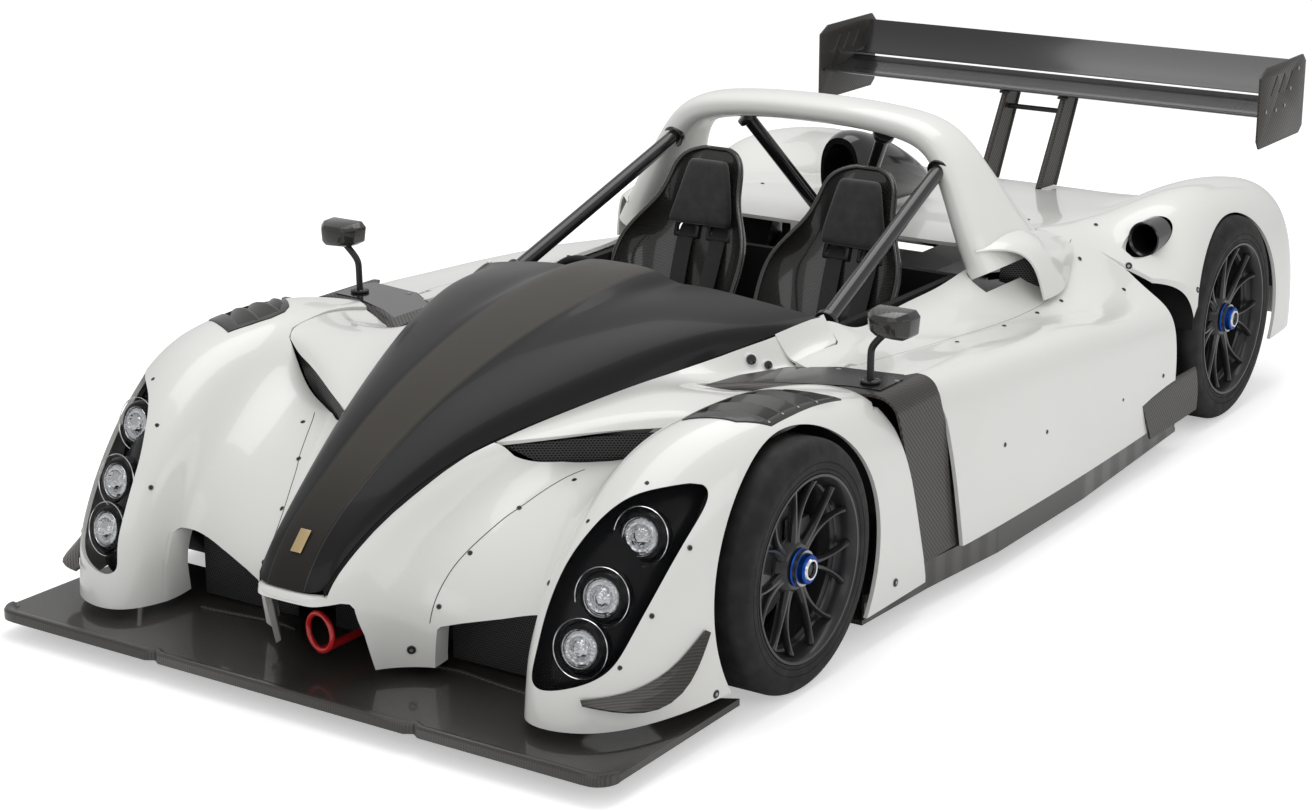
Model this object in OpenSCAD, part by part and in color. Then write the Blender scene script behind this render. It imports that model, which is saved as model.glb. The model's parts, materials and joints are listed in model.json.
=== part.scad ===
// Track sports car: an open two-seat track car with a tubular roll hoop, a full-width
// splitter, lift-off front and rear bodies and a two-element rear wing.
// The front of the car faces -Y, its left side is +X, and it stands on the ground at z = 0.

/* [Overall] */
// Distance between the front and rear axles
wheelbase = 2457; // [2040:1:2950]
// Width over the widest point of the body sides
body_w = 1780; // [1480:1:2140]
// Front edge of the splitter to the front axle
front_overhang = 750; // [690:1:900]
// Rear axle to the trailing edge of the wing
rear_overhang = 726; // [680:1:870]

/* [Wheels] */
// Outer diameter of a front tyre
front_tyre_d = 572; // [480:1:640]
// Outer diameter of a rear tyre
rear_tyre_d = 596; // [500:1:660]
// Width of a front tyre
front_tyre_w = 200; // [160:1:230]
// Width of a rear tyre
rear_tyre_w = 260; // [210:1:290]
// Radius of a front rim at its outer lip
front_rim_r = 211; // [175:1:225]
// Radius of a rear rim at its outer lip
rear_rim_r = 221; // [185:1:235]
// Number of Y spokes in a rim
spokes = 7; // [5:1:9]
// Gap between a tyre and the edge of its wheel arch
arch_gap = 39; // [30:1:50]
// Radius of the wheel spindle in its bearing
spindle_r = 32; // [26:1:38]
// Running clearance of the spindle in its bearing
spindle_fit = 0.05; // [0.02:0.01:0.1]
// Radius of a brake disc
disc_r = 148; // [120:1:155]

/* [Body] */
// Wall thickness of the moulded body panels
skin = 10; // [6:1:14]
// Width of the gap between neighbouring panels
panel_gap = 4; // [2:1:8]
// Height of the underside of the splitter and floor above the ground
ride_height = 45; // [35:1:60]
// Thickness of the splitter
splitter_t = 25; // [18:1:32]
// Thickness of the flat floor
floor_t = 12; // [8:1:18]
// Height of the roll hoop over the ground
hoop_top = 1012; // [900:1:1100]

/* [Cockpit] */
// Half width of the cockpit tub, outside
tub_half_w = 470; // [400:1:500]
// Wall thickness of the tub
tub_wall = 22; // [15:1:30]
// Distance of a seat's middle from the car's middle
seat_x = 236; // [215:1:255]
// Half width of a seat at its widest
seat_half_w = 202; // [180:1:215]
// Thickness of a seat shell
seat_skin = 9; // [6:1:12]
// Diameter of the steering wheel
steering_wheel_d = 280; // [240:1:320]
// Diameter of the tubes of the roll cage's stays
stay_d = 40; // [30:1:50]

/* [Wing] */
// Span of the wing between its endplates
wing_span = 1496; // [1250:1:1790]
// Chord of the wing's main element
main_chord = 215; // [180:1:250]
// Chord of the wing's flap
flap_chord = 150; // [120:1:175]
// Thickness of an endplate
endplate_t = 6; // [4:1:10]

/* [Steering] */
// Length of the steering arm on an upright
steer_arm = 120; // [100:1:130]
// Radius of the rack bar
rack_r = 13; // [10:1:16]

/* [Hidden] */
$fn = 64;

white = [0.86, 0.86, 0.84];
carbon = [0.11, 0.10, 0.09];
satin_black = [0.06, 0.06, 0.065];
rubber = [0.05, 0.05, 0.05];
steel = [0.5, 0.5, 0.52];

length_all = front_overhang + wheelbase + rear_overhang;
front_axle_y = front_overhang - length_all / 2;
front_r = front_tyre_d / 2;
rear_r = rear_tyre_d / 2;
front_arch_r = front_r + arch_gap;
arch_drop = 16;
rear_arch_r = rear_r + 5;
half_w = body_w / 2;

// The body's sections are drawn for a body 1780 wide with axles 2457 apart, and follow both
function X(x) = x * half_w / 890;
function Y(y) = y < 0 ? y : y < 2457 ? y * wheelbase / 2457 : y - 2457 + wheelbase;

front_wheel_x = X(885) - front_tyre_w / 2;
rear_wheel_x = X(862) - rear_tyre_w / 2;

// Moves a piece from the front axle's line on the ground into the car's own frame
module place() translate([0, front_axle_y, 0]) children();

// A piece and its mirror image on the car's other side
module both() {
  children();
  mirror([1, 0, 0]) children();
}

// ---- smooth surfaces through rows of points ----

// A cubic B-spline's control points that pass it close to the points p
function lift(p) = [
  for (i = [0:len(p) - 1])
    i == 0 || i == len(p) - 1 ? p[i] : (8 * p[i] - p[i - 1] - p[i + 1]) / 6
];
// The point at parameter s, from 0 to len(c) - 1, on the B-spline with control points c
function spline_at(c, s) =
  let(n = len(c), i = min(floor(s), n - 2), t = s - i,
      before = i > 0 ? c[i - 1] : 2 * c[0] - c[1],
      after = i + 2 < n ? c[i + 2] : 2 * c[n - 1] - c[n - 2])
  (before * pow(1 - t, 3) + c[i] * (3 * pow(t, 3) - 6 * t * t + 4)
    + c[i + 1] * (3 * t * t + 3 * t - 3 * pow(t, 3) + 1) + after * pow(t, 3)) / 6;
// n + 1 points along the smooth curve through p
function smooth(p, n) =
  let(c = lift(p)) [for (k = [0:n]) spline_at(c, k * (len(p) - 1) / n)];
// A grid of m + 1 rows and n + 1 columns on the smooth surface through rows of points
function surface_grid(rows, m, n) =
  let(across = [for (r = rows) smooth(r, n)])
  let(columns = [for (j = [0:n]) smooth([for (r = across) r[j]], m)])
  [for (i = [0:m]) [for (j = [0:n]) columns[j][i]]];
// A half row, from the middle outwards, and its mirror image as one row
function whole(row) = concat(
  [for (i = [len(row) - 1:-1:1]) [-row[i][0], row[i][1], row[i][2]]], row);

// Unit normal of a grid of points
function normal_at(g, i, j) =
  let(a = g[min(i + 1, len(g) - 1)][j] - g[max(i - 1, 0)][j],
      b = g[i][min(j + 1, len(g[0]) - 1)] - g[i][max(j - 1, 0)],
      n = cross(b, a))
  n / max(norm(n), 0.001);

// Two triangles with the corner points a, b, c and d in turn, anticlockwise from outside
function quad(a, b, c, d) = [[a, c, b], [a, d, c]];

// A wall of thickness t under a grid of points whose rows run rearwards and columns to +X
module wall(g, t) {
  m = len(g);
  n = len(g[0]);
  count = m * n;
  outside = [for (row = g) each row];
  inside = [for (i = [0:m - 1]) for (j = [0:n - 1]) g[i][j] - t * normal_at(g, i, j)];
  faces = concat(
    [for (i = [0:m - 2]) for (j = [0:n - 2])
      each quad(i * n + j, i * n + j + 1, (i + 1) * n + j + 1, (i + 1) * n + j)],
    [for (i = [0:m - 2]) for (j = [0:n - 2]) let(k = count + i * n + j)
      each quad(k, k + n, k + n + 1, k + 1)],
    [for (i = [0:m - 2])
      each quad(i * n, (i + 1) * n, count + (i + 1) * n, count + i * n)],
    [for (i = [0:m - 2]) let(k = i * n + n - 1)
      each quad(k, count + k, count + k + n, k + n)],
    [for (j = [0:n - 2]) each quad(j, count + j, count + j + 1, j + 1)],
    [for (j = [0:n - 2]) let(k = (m - 1) * n + j)
      each quad(k, k + 1, count + k + 1, count + k)]);
  polyhedron(concat(outside, inside), faces, convexity = 8);
}

// A solid through closed rings of points, all with the same count, with flat or drawn-in ends
module skin_rings(rings) {
  m = len(rings);
  n = len(rings[0]);
  faces = concat(
    [for (i = [0:m - 2]) for (j = [0:n - 1]) let(k = (j + 1) % n)
      each quad(i * n + j, i * n + k, (i + 1) * n + k, (i + 1) * n + j)],
    [for (j = [1:n - 2]) [0, j, j + 1]],
    [for (j = [1:n - 2]) [(m - 1) * n, (m - 1) * n + j + 1, (m - 1) * n + j]]);
  polyhedron([for (r = rings) each r], faces, convexity = 8);
}

// A round tube or bar between two points
module bar(a, b, r) {
  d = b - a;
  translate(a)
    rotate([0, acos(d[2] / norm(d)), atan2(d[1], d[0])])
      cylinder(h = norm(d), r = r);
}

// A closed outline with its edges moved outwards by g
function grown(p, g) = [for (i = [0:len(p) - 1])
  let(n = len(p), d = p[(i + 1) % n] - p[(i + n - 1) % n])
  p[i] + g * [d[1], -d[0]] / norm(d)];
// The rows i0 to i1 and columns j0 to j1 of a grid
function part_of(g, i0, i1, j0, j1) = [for (i = [i0:i1]) [for (j = [j0:j1]) g[i][j]]];

// ---- the front body, drawn round a line across the car at the front axle ----
// A row holds an angle up from straight ahead, a distance behind the axle, and points
// across the car as [half width, distance from the line]
fan_z = 85;
front_swell = 2 * (front_r - 286);
function front_point(row, k) =
  let(x = row[2][k][0],
      r = row[2][k][1] + (k >= 8 && k <= 12 ? front_swell : 0))
  [X(x), Y(row[1]) - r * cos(row[0]), fan_z + r * sin(row[0])];
front_rows = [
  [0, 0, [[0, 665], [60, 660], [108, 640], [152, 570], [217, 517], [300, 490], [420, 475],
    [505, 480], [530, 560], [572, 628], [650, 640], [745, 590], [815, 450], [852, 240], [862, 0]]],
  [9, 0, [[0, 712], [58, 708], [98, 690], [150, 600], [215, 530], [300, 507], [420, 490],
    [505, 497], [533, 565], [574, 625], [655, 636], [748, 585], [818, 450], [853, 240], [863, 0]]],
  [16, 0, [[0, 736], [56, 734], [92, 718], [150, 615], [220, 532], [305, 505], [420, 488],
    [506, 500], [535, 565], [577, 621], [659, 631], [751, 580], [820, 450], [854, 240], [864, 0]]],
  [27, 0, [[0, 640], [60, 645], [110, 649], [160, 560], [230, 497], [312, 477], [425, 472],
    [510, 495], [542, 560], [583, 609], [664, 618], [757, 566], [824, 445], [856, 240], [866, 0]]],
  [40, 0, [[0, 560], [80, 566], [145, 577], [190, 500], [250, 457], [325, 445], [432, 450],
    [515, 485], [552, 550], [598, 590], [675, 600], [765, 555], [830, 440], [860, 240], [868, 0]]],
  [54, 0, [[0, 510], [110, 518], [185, 526], [225, 470], [280, 432], [345, 422], [442, 432],
    [522, 475], [566, 545], [618, 580], [692, 587], [775, 550], [838, 440], [864, 240], [870, 0]]],
  [70, 0, [[0, 470], [140, 478], [240, 486], [280, 450], [325, 420], [380, 408], [460, 418],
    [535, 465], [583, 535], [640, 566], [708, 573], [788, 540], [845, 432], [867, 240], [872, 0]]],
  [90, 0, [[0, 470], [200, 478], [305, 486], [345, 455], [385, 420], [430, 400], [492, 410],
    [552, 458], [602, 516], [655, 542], [722, 549], [800, 520], [852, 420], [870, 240], [874, 0]]],
  [90, 130, [[0, 485], [230, 492], [350, 504], [390, 465], [425, 425], [462, 405], [512, 415],
    [560, 458], [607, 512], [660, 538], [725, 545], [803, 518], [855, 418], [872, 240], [875, 0]]],
  [90, 270, [[0, 495], [260, 505], [391, 518], [425, 475], [450, 430], [485, 405], [525, 415],
    [565, 450], [612, 495], [665, 516], [730, 521], [806, 497], [858, 400], [873, 235], [876, 0]]],
  [90, 410, [[0, 510], [290, 520], [430, 532], [450, 475], [472, 430], [500, 405], [540, 410],
    [575, 435], [620, 468], [672, 484], [735, 484], [808, 460], [860, 372], [873, 220], [876, 0]]],
  [90, 560, [[0, 520], [320, 535], [468, 547], [480, 490], [496, 430], [520, 400], [552, 400],
    [588, 410], [630, 425], [680, 432], [740, 432], [812, 412], [860, 335], [872, 200], [875, 0]]]
];
function front_grid(m, n) =
  surface_grid([for (r = front_rows) whole([for (k = [0:14]) front_point(r, k)])], m, n);

// Outline in plan of the opening that the bonnet fills, as half widths at places along the car
bonnet_edge = [
  [92, -690, 298], [98, -650, 329], [107, -600, 368], [117, -550, 398], [129, -500, 428],
  [143, -450, 453], [166, -370, 489], [188, -300, 514], [228, -196, 538], [286, -50, 561],
  [318, 37, 577], [371, 200, 597], [416, 360, 612], [455, 506, 627], [500, 682, 643]
];
module bonnet_hole(gap) {
  right = [for (p = bonnet_edge) [X(p[0]) + gap, Y(p[1])]];
  polygon(concat([[X(60), -900], [X(84), -712]], right,
    [for (i = [len(right) - 1:-1:0]) [-right[i][0], right[i][1]]],
    [[-X(84), -712], [-X(60), -900]]));
}

// The slanted front edge of the side vanes, as [y, z] from the top down
vane_edge = [[397, 900], [397, 567], [435, 487], [480, 354], [540, 152], [552, 100], [552, 0]];
// Outline in plan of the flat top of a side vane, and the room it takes with a gap round it
vane_plan = [[446, 215], [530, 290], [700, 398], [800, 405], [950, 200], [950, 760], [870, 760],
  [790, 580], [632, 552], [530, 478], [474, 360]];
module vane_place(gap, low) translate([0, 0, low]) linear_extrude(300)
  polygon(grown([for (p = vane_plan) [X(p[0]), Y(p[1])]], gap));
module behind(edge, gap) rotate([90, 0, 90]) translate([0, 0, -1000]) linear_extrude(2000)
  polygon(concat([for (p = edge) [Y(p[0]) - gap, p[1]]], [[Y(2000), 0], [Y(2000), 900]]));

module front_clam() color(white) place() {
  difference() {
    wall(front_body, skin);
    // wheel arches
    both() translate([X(600), 0, front_r - arch_drop]) rotate([0, 90, 0])
      cylinder(h = half_w, r = front_arch_r);
    // openings under the nose and under the swept surfaces
    rotate([90, 0, 0]) linear_extrude(900)
      polygon([[-125, 0], [-112, 190], [-92, 236], [92, 236], [112, 190], [125, 0]]);
    both() rotate([90, 0, 0]) linear_extrude(900)
      polygon([[X(219), 0], [X(235), 178], [X(262), 188], [X(470), 246], [X(526), 262],
        [X(528), 0]]);
    behind(vane_edge, panel_gap);
    // the bonnet's opening, and the open middle under the brow panels
    translate([0, 0, 270]) linear_extrude(600) bonnet_hole(2);
    both() linear_extrude(900) polygon([for (p = [[-10, -243], [211, -243], [303, -185],
      [330, -150], [480, -60], [542, -24], [588, 0], [604, 32], [616, 115], [630, 197],
      [641, 299], [643, 414], [643, 640], [-10, 640]])
      [X(p[0]), Y(p[1])]]);
    both() vane_place(2, 540);
    both() headlight_prism(0);
    both() louvre_prism(1);
  }
}

// Outline of a headlight seen along its own axis, which points out of the front corner
lamp_edge = [
  [178, 205], [126, 216], [74, 206], [22, 192], [-20, 172], [-60, 139], [-92, 90], [-122, 34],
  [-152, -22], [-174, -84], [-184, -145], [-176, -194], [-121, -207], [-59, -187], [2, -137],
  [43, -76], [74, -25], [115, 42], [147, 100], [174, 163]
];
lamps = [[50, 109, 36], [-30, -22, 56], [-79, -127, 51]];
module headlight_axis() translate([X(700), -470, 352]) rotate([0, 0, 34]) rotate([66, 0, 0])
  children();
module headlight_prism(grow) headlight_axis() translate([0, 0, -62])
  linear_extrude(190) polygon(grown(lamp_edge, grow));
louvre_edge = [[598, -78], [798, -32], [794, 278], [665, 127]];
module louvre_prism(size) translate([X(714), 74, 500]) linear_extrude(300)
  polygon([for (p = louvre_edge) [X(p[0] - 714), p[1] - 74] * size]);
front_body = front_grid(22, 56);
lamp_patch = part_of(front_body, 0, 12, 45, 56);
louvre_patch = part_of(front_body, 11, 20, 44, 55);

module headlight_units() color(satin_black) place() both() {
  intersection() {
    wall([for (r = lamp_patch) [for (p = r) p - [14, -32, 14]]], 8);
    headlight_prism(-9);
  }
  for (p = lamps) headlight_axis() translate([p[0], p[1], p[2] - 40]) cylinder(h = 22, r = 31);
}
module headlight_lenses() color([0.8, 0.85, 0.9, 0.4]) place() both() intersection() {
  wall(lamp_patch, 4);
  headlight_prism(-1.5);
}
module fender_louvres() color(carbon) place() both() difference() {
  intersection() {
    wall([for (r = louvre_patch) [for (p = r) p + [0, 0, 3]]], 8);
    louvre_prism(0.98);
  }
  for (k = [0:2]) translate([X(640) + 22 * k, -30 + 72 * k, 500]) rotate([0, 0, 26])
    cube([110, 40, 300]);
}

// ---- brow panels and bonnet ----
// Rows of whole points, drawn as [x, y, z]
function pts(rows) = [for (r = rows) [for (p = r) [X(p[0]), Y(p[1]), p[2]]]];
brow_rows = [
  [[213, -238, 522], [300, -182, 532], [400, -112, 545], [480, -58, 552], [540, -22, 558],
    [586, 2, 582]],
  [[247, -150, 543], [330, -110, 562], [420, -60, 575], [500, -20, 582], [556, 10, 588],
    [602, 34, 599]],
  [[305, 0, 571], [380, 25, 588], [450, 55, 596], [520, 80, 598], [568, 98, 600],
    [613, 116, 603]],
  [[350, 130, 589], [405, 140, 594], [470, 155, 594], [535, 170, 593], [580, 184, 594],
    [624, 198, 598]],
  [[388, 260, 601], [425, 262, 584], [470, 268, 566], [530, 280, 560], [590, 290, 568],
    [636, 300, 580]],
  [[428, 400, 614], [448, 400, 584], [474, 402, 562], [530, 405, 556], [590, 410, 554],
    [640, 415, 556]],
  [[463, 540, 630], [485, 540, 596], [510, 540, 562], [555, 540, 552], [600, 540, 548],
    [640, 540, 546]]
];
module brow_panels() color(white) place() both() difference() {
  wall(surface_grid(pts(brow_rows), 10, 8), skin);
  linear_extrude(900) bonnet_hole(2);
  vane_place(3, 562);
}

bonnet_rows = [
  [[0, -711, 284], [30, -710, 283], [46, -708, 283], [60, -705, 284], [72, -701, 286],
    [82, -695, 289], [90, -687, 295]],
  [[0, -690, 322], [31, -690, 321], [47, -689, 318], [61, -687, 314], [74, -684, 310],
    [85, -679, 307], [94, -672, 308]],
  [[0, -651, 368], [32, -651, 367], [48, -651, 364], [62, -651, 360], [76, -651, 354],
    [89, -651, 345], [98, -651, 328]],
  [[0, -600, 412], [34, -600, 411], [52, -600, 408], [68, -600, 403], [83, -600, 395],
    [97, -600, 385], [107, -600, 367]],
  [[0, -510, 471], [40, -510, 470], [60, -510, 467], [79, -510, 461], [99, -510, 453],
    [115, -510, 442], [127, -510, 423]],
  [[0, -370, 548], [50, -370, 546], [78, -370, 542], [104, -370, 535], [130, -370, 524],
    [152, -370, 509], [166, -370, 488]],
  [[0, -196, 620], [66, -196, 618], [104, -196, 611], [141, -196, 602], [178, -196, 587],
    [208, -196, 566], [228, -196, 537]],
  [[0, 37, 684], [86, 37, 681], [130, 37, 675], [186, 37, 664], [245, 37, 645],
    [291, 37, 616], [318, 37, 576]],
  [[0, 200, 714], [95, 200, 711], [130, 200, 700], [200, 200, 694], [290, 200, 674],
    [346, 200, 640], [371, 200, 596]],
  [[0, 360, 735], [100, 360, 732], [140, 360, 711], [209, 360, 708], [322, 360, 690],
    [392, 360, 657], [416, 360, 611]],
  [[0, 480, 741], [102, 480, 738], [148, 485, 706], [215, 490, 705], [350, 500, 684],
    [428, 506, 656], [455, 506, 626]],
  [[0, 560, 738], [103, 562, 733], [152, 585, 700], [222, 600, 699], [362, 630, 676],
    [452, 662, 656], [500, 682, 642]]
];
module bonnet() color(satin_black) place()
  wall(surface_grid([for (r = pts(bonnet_rows)) whole(r)], 20, 20), 6);

// ---- middle and rear body ----
// Each row of the side runs from the cockpit's edge out and down to the sill
side_rows = [
  [[520, 560, 600], [560, 560, 575], [650, 560, 566], [740, 560, 566], [805, 560, 560],
    [846, 560, 528], [864, 560, 440], [870, 560, 280], [866, 560, 90]],
  [[500, 700, 640], [555, 700, 580], [650, 700, 560], [740, 700, 558], [812, 700, 553],
    [852, 700, 520], [871, 700, 430], [880, 700, 280], [876, 700, 90]],
  [[518, 830, 580], [570, 830, 560], [652, 830, 548], [742, 830, 549], [815, 830, 544],
    [856, 830, 510], [878, 830, 420], [886, 830, 280], [882, 830, 90]],
  [[500, 1050, 587], [565, 1050, 560], [655, 1050, 530], [745, 1050, 534], [818, 1050, 531],
    [860, 1050, 500], [882, 1050, 410], [889, 1050, 270], [886, 1050, 90]],
  [[500, 1270, 588], [568, 1270, 560], [658, 1270, 513], [748, 1270, 516], [818, 1270, 514],
    [862, 1270, 485], [884, 1270, 400], [890, 1270, 260], [886, 1270, 90]],
  [[505, 1420, 608], [572, 1430, 575], [660, 1440, 508], [748, 1450, 503], [818, 1450, 500],
    [862, 1450, 470], [884, 1450, 390], [889, 1450, 255], [884, 1450, 90]],
  [[525, 1640, 640], [590, 1650, 600], [668, 1660, 520], [752, 1670, 487], [820, 1680, 470],
    [862, 1690, 438], [880, 1700, 370], [884, 1700, 245], [878, 1700, 90]],
  [[545, 1860, 640], [600, 1870, 600], [676, 1880, 535], [758, 1890, 480], [822, 1900, 446],
    [858, 1910, 405], [873, 1920, 340], [877, 1920, 235], [870, 1920, 90]],
  [[560, 2060, 640], [612, 2070, 605], [690, 2080, 545], [766, 2100, 484], [826, 2120, 436],
    [855, 2130, 392], [868, 2140, 330], [871, 2140, 230], [864, 2140, 90]]
];
side_grid = surface_grid(pts(side_rows), 16, 16);
rear_edge = [[611, 900], [611, 538], [646, 457], [695, 245], [730, 108], [732, 0]];
// Seam between the cockpit sides and the side pods, and between those and the rear body
seam_in = [[640, 500], [652, 660], [660, 870], [664, 1100], [668, 1330], [674, 1540], [668, 1640],
  [640, 1720], [600, 1860], [590, 1900]];
seam_rear = [[590, 1900], [650, 1970], [775, 2035], [865, 2180], [900, 2230]];
module side_pods() color(white) place() both() intersection() {
  difference() {
    wall(side_grid, skin);
    translate([-2000, 0, -1]) cube([4000, 3000, ride_height + 76]);
    translate([X(500), Y(2457), rear_r + 2]) rotate([0, 90, 0]) cylinder(h = half_w, r = rear_arch_r);
  }
  behind(rear_edge, -panel_gap);
  linear_extrude(900) polygon(concat([for (p = seam_in) [X(p[0]), Y(p[1])]],
    [for (k = [1:4]) [X(seam_rear[k][0]), Y(seam_rear[k][1]) - 1]], [[half_w + 50, Y(2230)],
      [half_w + 50, Y(500)]]));
}
module cockpit_sides() color(white) place() both() difference() {
  intersection() {
    wall(side_grid, skin);
    linear_extrude(900) polygon(concat([for (p = seam_in) [X(p[0]) - 2, Y(p[1])]],
      [[X(562), Y(1850)], [X(532), Y(1556)], [X(480), Y(1550)], [X(400), Y(700)], [X(500), Y(560)]]));
  }
  hoop_leg(2);
}

rear_rows = [
  [[0, 1560, 640], [150, 1560, 640], [300, 1560, 640], [430, 1560, 642], [500, 1560, 650],
    [560, 1600, 620], [640, 1640, 545], [740, 1660, 490], [830, 1690, 455], [878, 1700, 370],
      [884, 1700, 245], [878, 1700, 90]],
  [[0, 1760, 640], [150, 1760, 640], [300, 1760, 640], [430, 1760, 642], [510, 1760, 648],
    [575, 1770, 620], [650, 1790, 552], [745, 1800, 492], [826, 1810, 450], [872, 1820, 360],
      [880, 1820, 240], [872, 1820, 90]],
  [[0, 1930, 634], [150, 1930, 634], [300, 1930, 634], [430, 1930, 636], [520, 1930, 634],
    [590, 1940, 606], [665, 1950, 548], [755, 1960, 486], [826, 1980, 440], [868, 1990, 350],
      [875, 1990, 240], [868, 1990, 90]],
  [[0, 2080, 624], [150, 2080, 624], [300, 2080, 624], [430, 2080, 624], [520, 2080, 622],
    [590, 2085, 616], [670, 2095, 596], [755, 2105, 545], [824, 2115, 470], [860, 2120, 370],
      [871, 2120, 240], [862, 2120, 90]],
  [[0, 2230, 606], [150, 2230, 606], [300, 2230, 606], [430, 2230, 608], [520, 2230, 620],
    [600, 2230, 648], [680, 2230, 664], [760, 2230, 640], [824, 2230, 560], [858, 2230, 430],
      [870, 2230, 240], [862, 2230, 90]],
  [[0, 2400, 585], [150, 2400, 585], [300, 2400, 585], [430, 2400, 592], [520, 2400, 615],
    [600, 2400, 658], [690, 2400, 682], [768, 2400, 662], [828, 2400, 580], [860, 2400, 440],
      [870, 2400, 240], [862, 2400, 90]],
  [[0, 2600, 560], [150, 2600, 560], [300, 2600, 560], [430, 2600, 570], [520, 2600, 600],
    [600, 2600, 645], [690, 2600, 670], [768, 2600, 650], [828, 2600, 572], [860, 2600, 435],
      [870, 2600, 240], [862, 2600, 90]],
  [[0, 2780, 535], [150, 2780, 535], [300, 2780, 535], [430, 2780, 548], [520, 2780, 580],
    [600, 2780, 620], [690, 2780, 640], [768, 2780, 618], [826, 2780, 545], [856, 2780, 420],
      [866, 2780, 240], [858, 2780, 90]],
  [[0, 2900, 520], [150, 2900, 520], [300, 2900, 520], [430, 2900, 532], [520, 2900, 560],
    [600, 2900, 590], [690, 2900, 605], [764, 2900, 586], [818, 2900, 520], [846, 2900, 405],
      [856, 2900, 240], [848, 2900, 90]],
  [[0, 2960, 480], [150, 2960, 480], [300, 2960, 480], [430, 2960, 485], [520, 2960, 500],
    [600, 2960, 518], [690, 2960, 528], [756, 2960, 515], [804, 2960, 465], [828, 2960, 375],
      [836, 2960, 240], [830, 2960, 90]]
];
module rear_clam() color(white) place() difference() {
  wall(surface_grid([for (r = pts(rear_rows)) whole(r)], 18, 36), skin);
  both() translate([X(500), Y(2457), rear_r + 2]) rotate([0, 90, 0])
    cylinder(h = half_w, r = rear_arch_r);
  translate([-2000, 0, -1]) cube([4000, 5000, 176]);
  translate([-2000, Y(2000), 0]) cube([4000, 460, rear_r]);
  both() hoop_leg(2);
  both() translate([X(720), Y(2040), 588]) rotate([-90, 0, 0]) cylinder(h = 200, r = 47);
  // the side pods and cockpit sides start here
  both() linear_extrude(900) polygon(concat(
    [for (p = seam_rear) [X(p[0]) , Y(p[1]) + 1]],
    [[half_w + 50, Y(2230)], [half_w + 50, Y(1400)], [X(500), Y(1400)], [X(530), Y(1554)],
      [X(559), Y(1850)], [X(584), Y(1903)]]));
}

// ---- roll hoop, airbox, scoops and ducts ----
// A closed oval round c, with half sizes a across the wall and b along the car
function oval(c, across, a, b, n) = [
  for (k = [0:n - 1]) let(u = cos(360 * k / n), v = sin(360 * k / n))
    c + across * (a * sign(u) * pow(abs(u), 0.8)) + [0, b * sign(v) * pow(abs(v), 0.8), 0]
];
hoop_path = [
  // x, y, z, half thickness, half depth
  [556, 1590, 600, 62, 190], [516, 1565, 680, 56, 165], [474, 1540, 770, 50, 130],
  [424, 1520, 870, 44, 96], [358, 1510, 938, 40, 82], [245, 1508, 964, 36, 78],
  [120, 1508, 974, 35, 76], [0, 1508, 976, 35, 76]
];
function hoop_ring(p, d, gap = 0) =
  let(across = [d[2], 0, -d[0]] / norm([d[0], d[2]]))
  oval([X(p[0]), Y(p[1]), p[2] + hoop_top - 1012], across, p[3] + gap, p[4] + gap, 16);
// The foot of the hoop with a gap round it, for cutting its place in the body panels
module hoop_leg(gap) {
  path = smooth(hoop_path, 14);
  skin_rings(concat(
    [hoop_ring(path[0] - [-10, -5, 45, 0, 0], path[1] - path[0], gap)],
    [for (i = [0:5]) hoop_ring(path[i], path[i + 1] - path[max(i - 1, 0)], gap)]));
}
module roll_hoop() color(white) place() {
  path = smooth(hoop_path, 14);
  last = len(path) - 1;
  half = [for (i = [0:last]) hoop_ring(path[i],
    i < last ? path[i + 1] - path[max(i - 1, 0)] : [-1, 0, 0])];
  other = [for (i = [last - 1:-1:0]) [for (p = half[i]) [-p[0], p[1], p[2]]]];
  skin_rings(concat(half, other));
}

// A bar whose upper end stops short of a point by some length
module short_bar(a, b, r, short) bar(a + (b - a) * short / norm(b - a), b, r);
module stays() color(satin_black) place() both() {
  short_bar([X(414), Y(1442), 865], [X(470), Y(760), 610], stay_d / 2, 30);
  short_bar([X(215), Y(1500), 930], [X(60), Y(1640), 660], stay_d / 2, 12);
}

module airbox() color(satin_black) place() difference() {
  skin_rings([for (p = smooth([[1640, 60, 95, 775], [1700, 80, 110, 772], [1800, 92, 100, 755],
      [1920, 90, 78, 725], [2040, 70, 45, 690], [2090, 40, 20, 668]], 12))
    [for (k = [0:15]) [p[1] * cos(-22.5 * k), Y(p[0]), p[3] + p[2] * sin(-22.5 * k)]]]);
  translate([0, Y(1640) - 1, 775]) rotate([-90, 0, 0]) cylinder(h = 120, r = 52);
}

// The hood over each side intake, from its lip back to where it meets the body
scoop_rows = [
  [[548, 1400, 668], [588, 1440, 672], [634, 1497, 656], [666, 1528, 606], [684, 1545, 526]],
  [[548, 1470, 690], [590, 1510, 690], [640, 1556, 664], [668, 1590, 604], [686, 1612, 527]],
  [[548, 1560, 696], [588, 1600, 688], [636, 1636, 652], [662, 1664, 592], [677, 1686, 534]],
  [[548, 1680, 680], [580, 1702, 668], [616, 1728, 636], [640, 1750, 594], [651, 1766, 561]],
  [[556, 1800, 650], [576, 1812, 640], [598, 1824, 630], [613, 1836, 615], [624, 1846, 600]]
];
module side_scoops() color(white) place() both() difference() {
  wall(surface_grid(pts(scoop_rows), 10, 12), 7);
  hoop_leg(1);
}

module oval_ducts() color(satin_black) place() both() translate([X(720), Y(2090), 588])
  rotate([-90, 0, 0]) difference() {
    cylinder(h = 90, r = 46);
    translate([0, 0, -1]) cylinder(h = 84, r = 40);
  }

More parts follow.
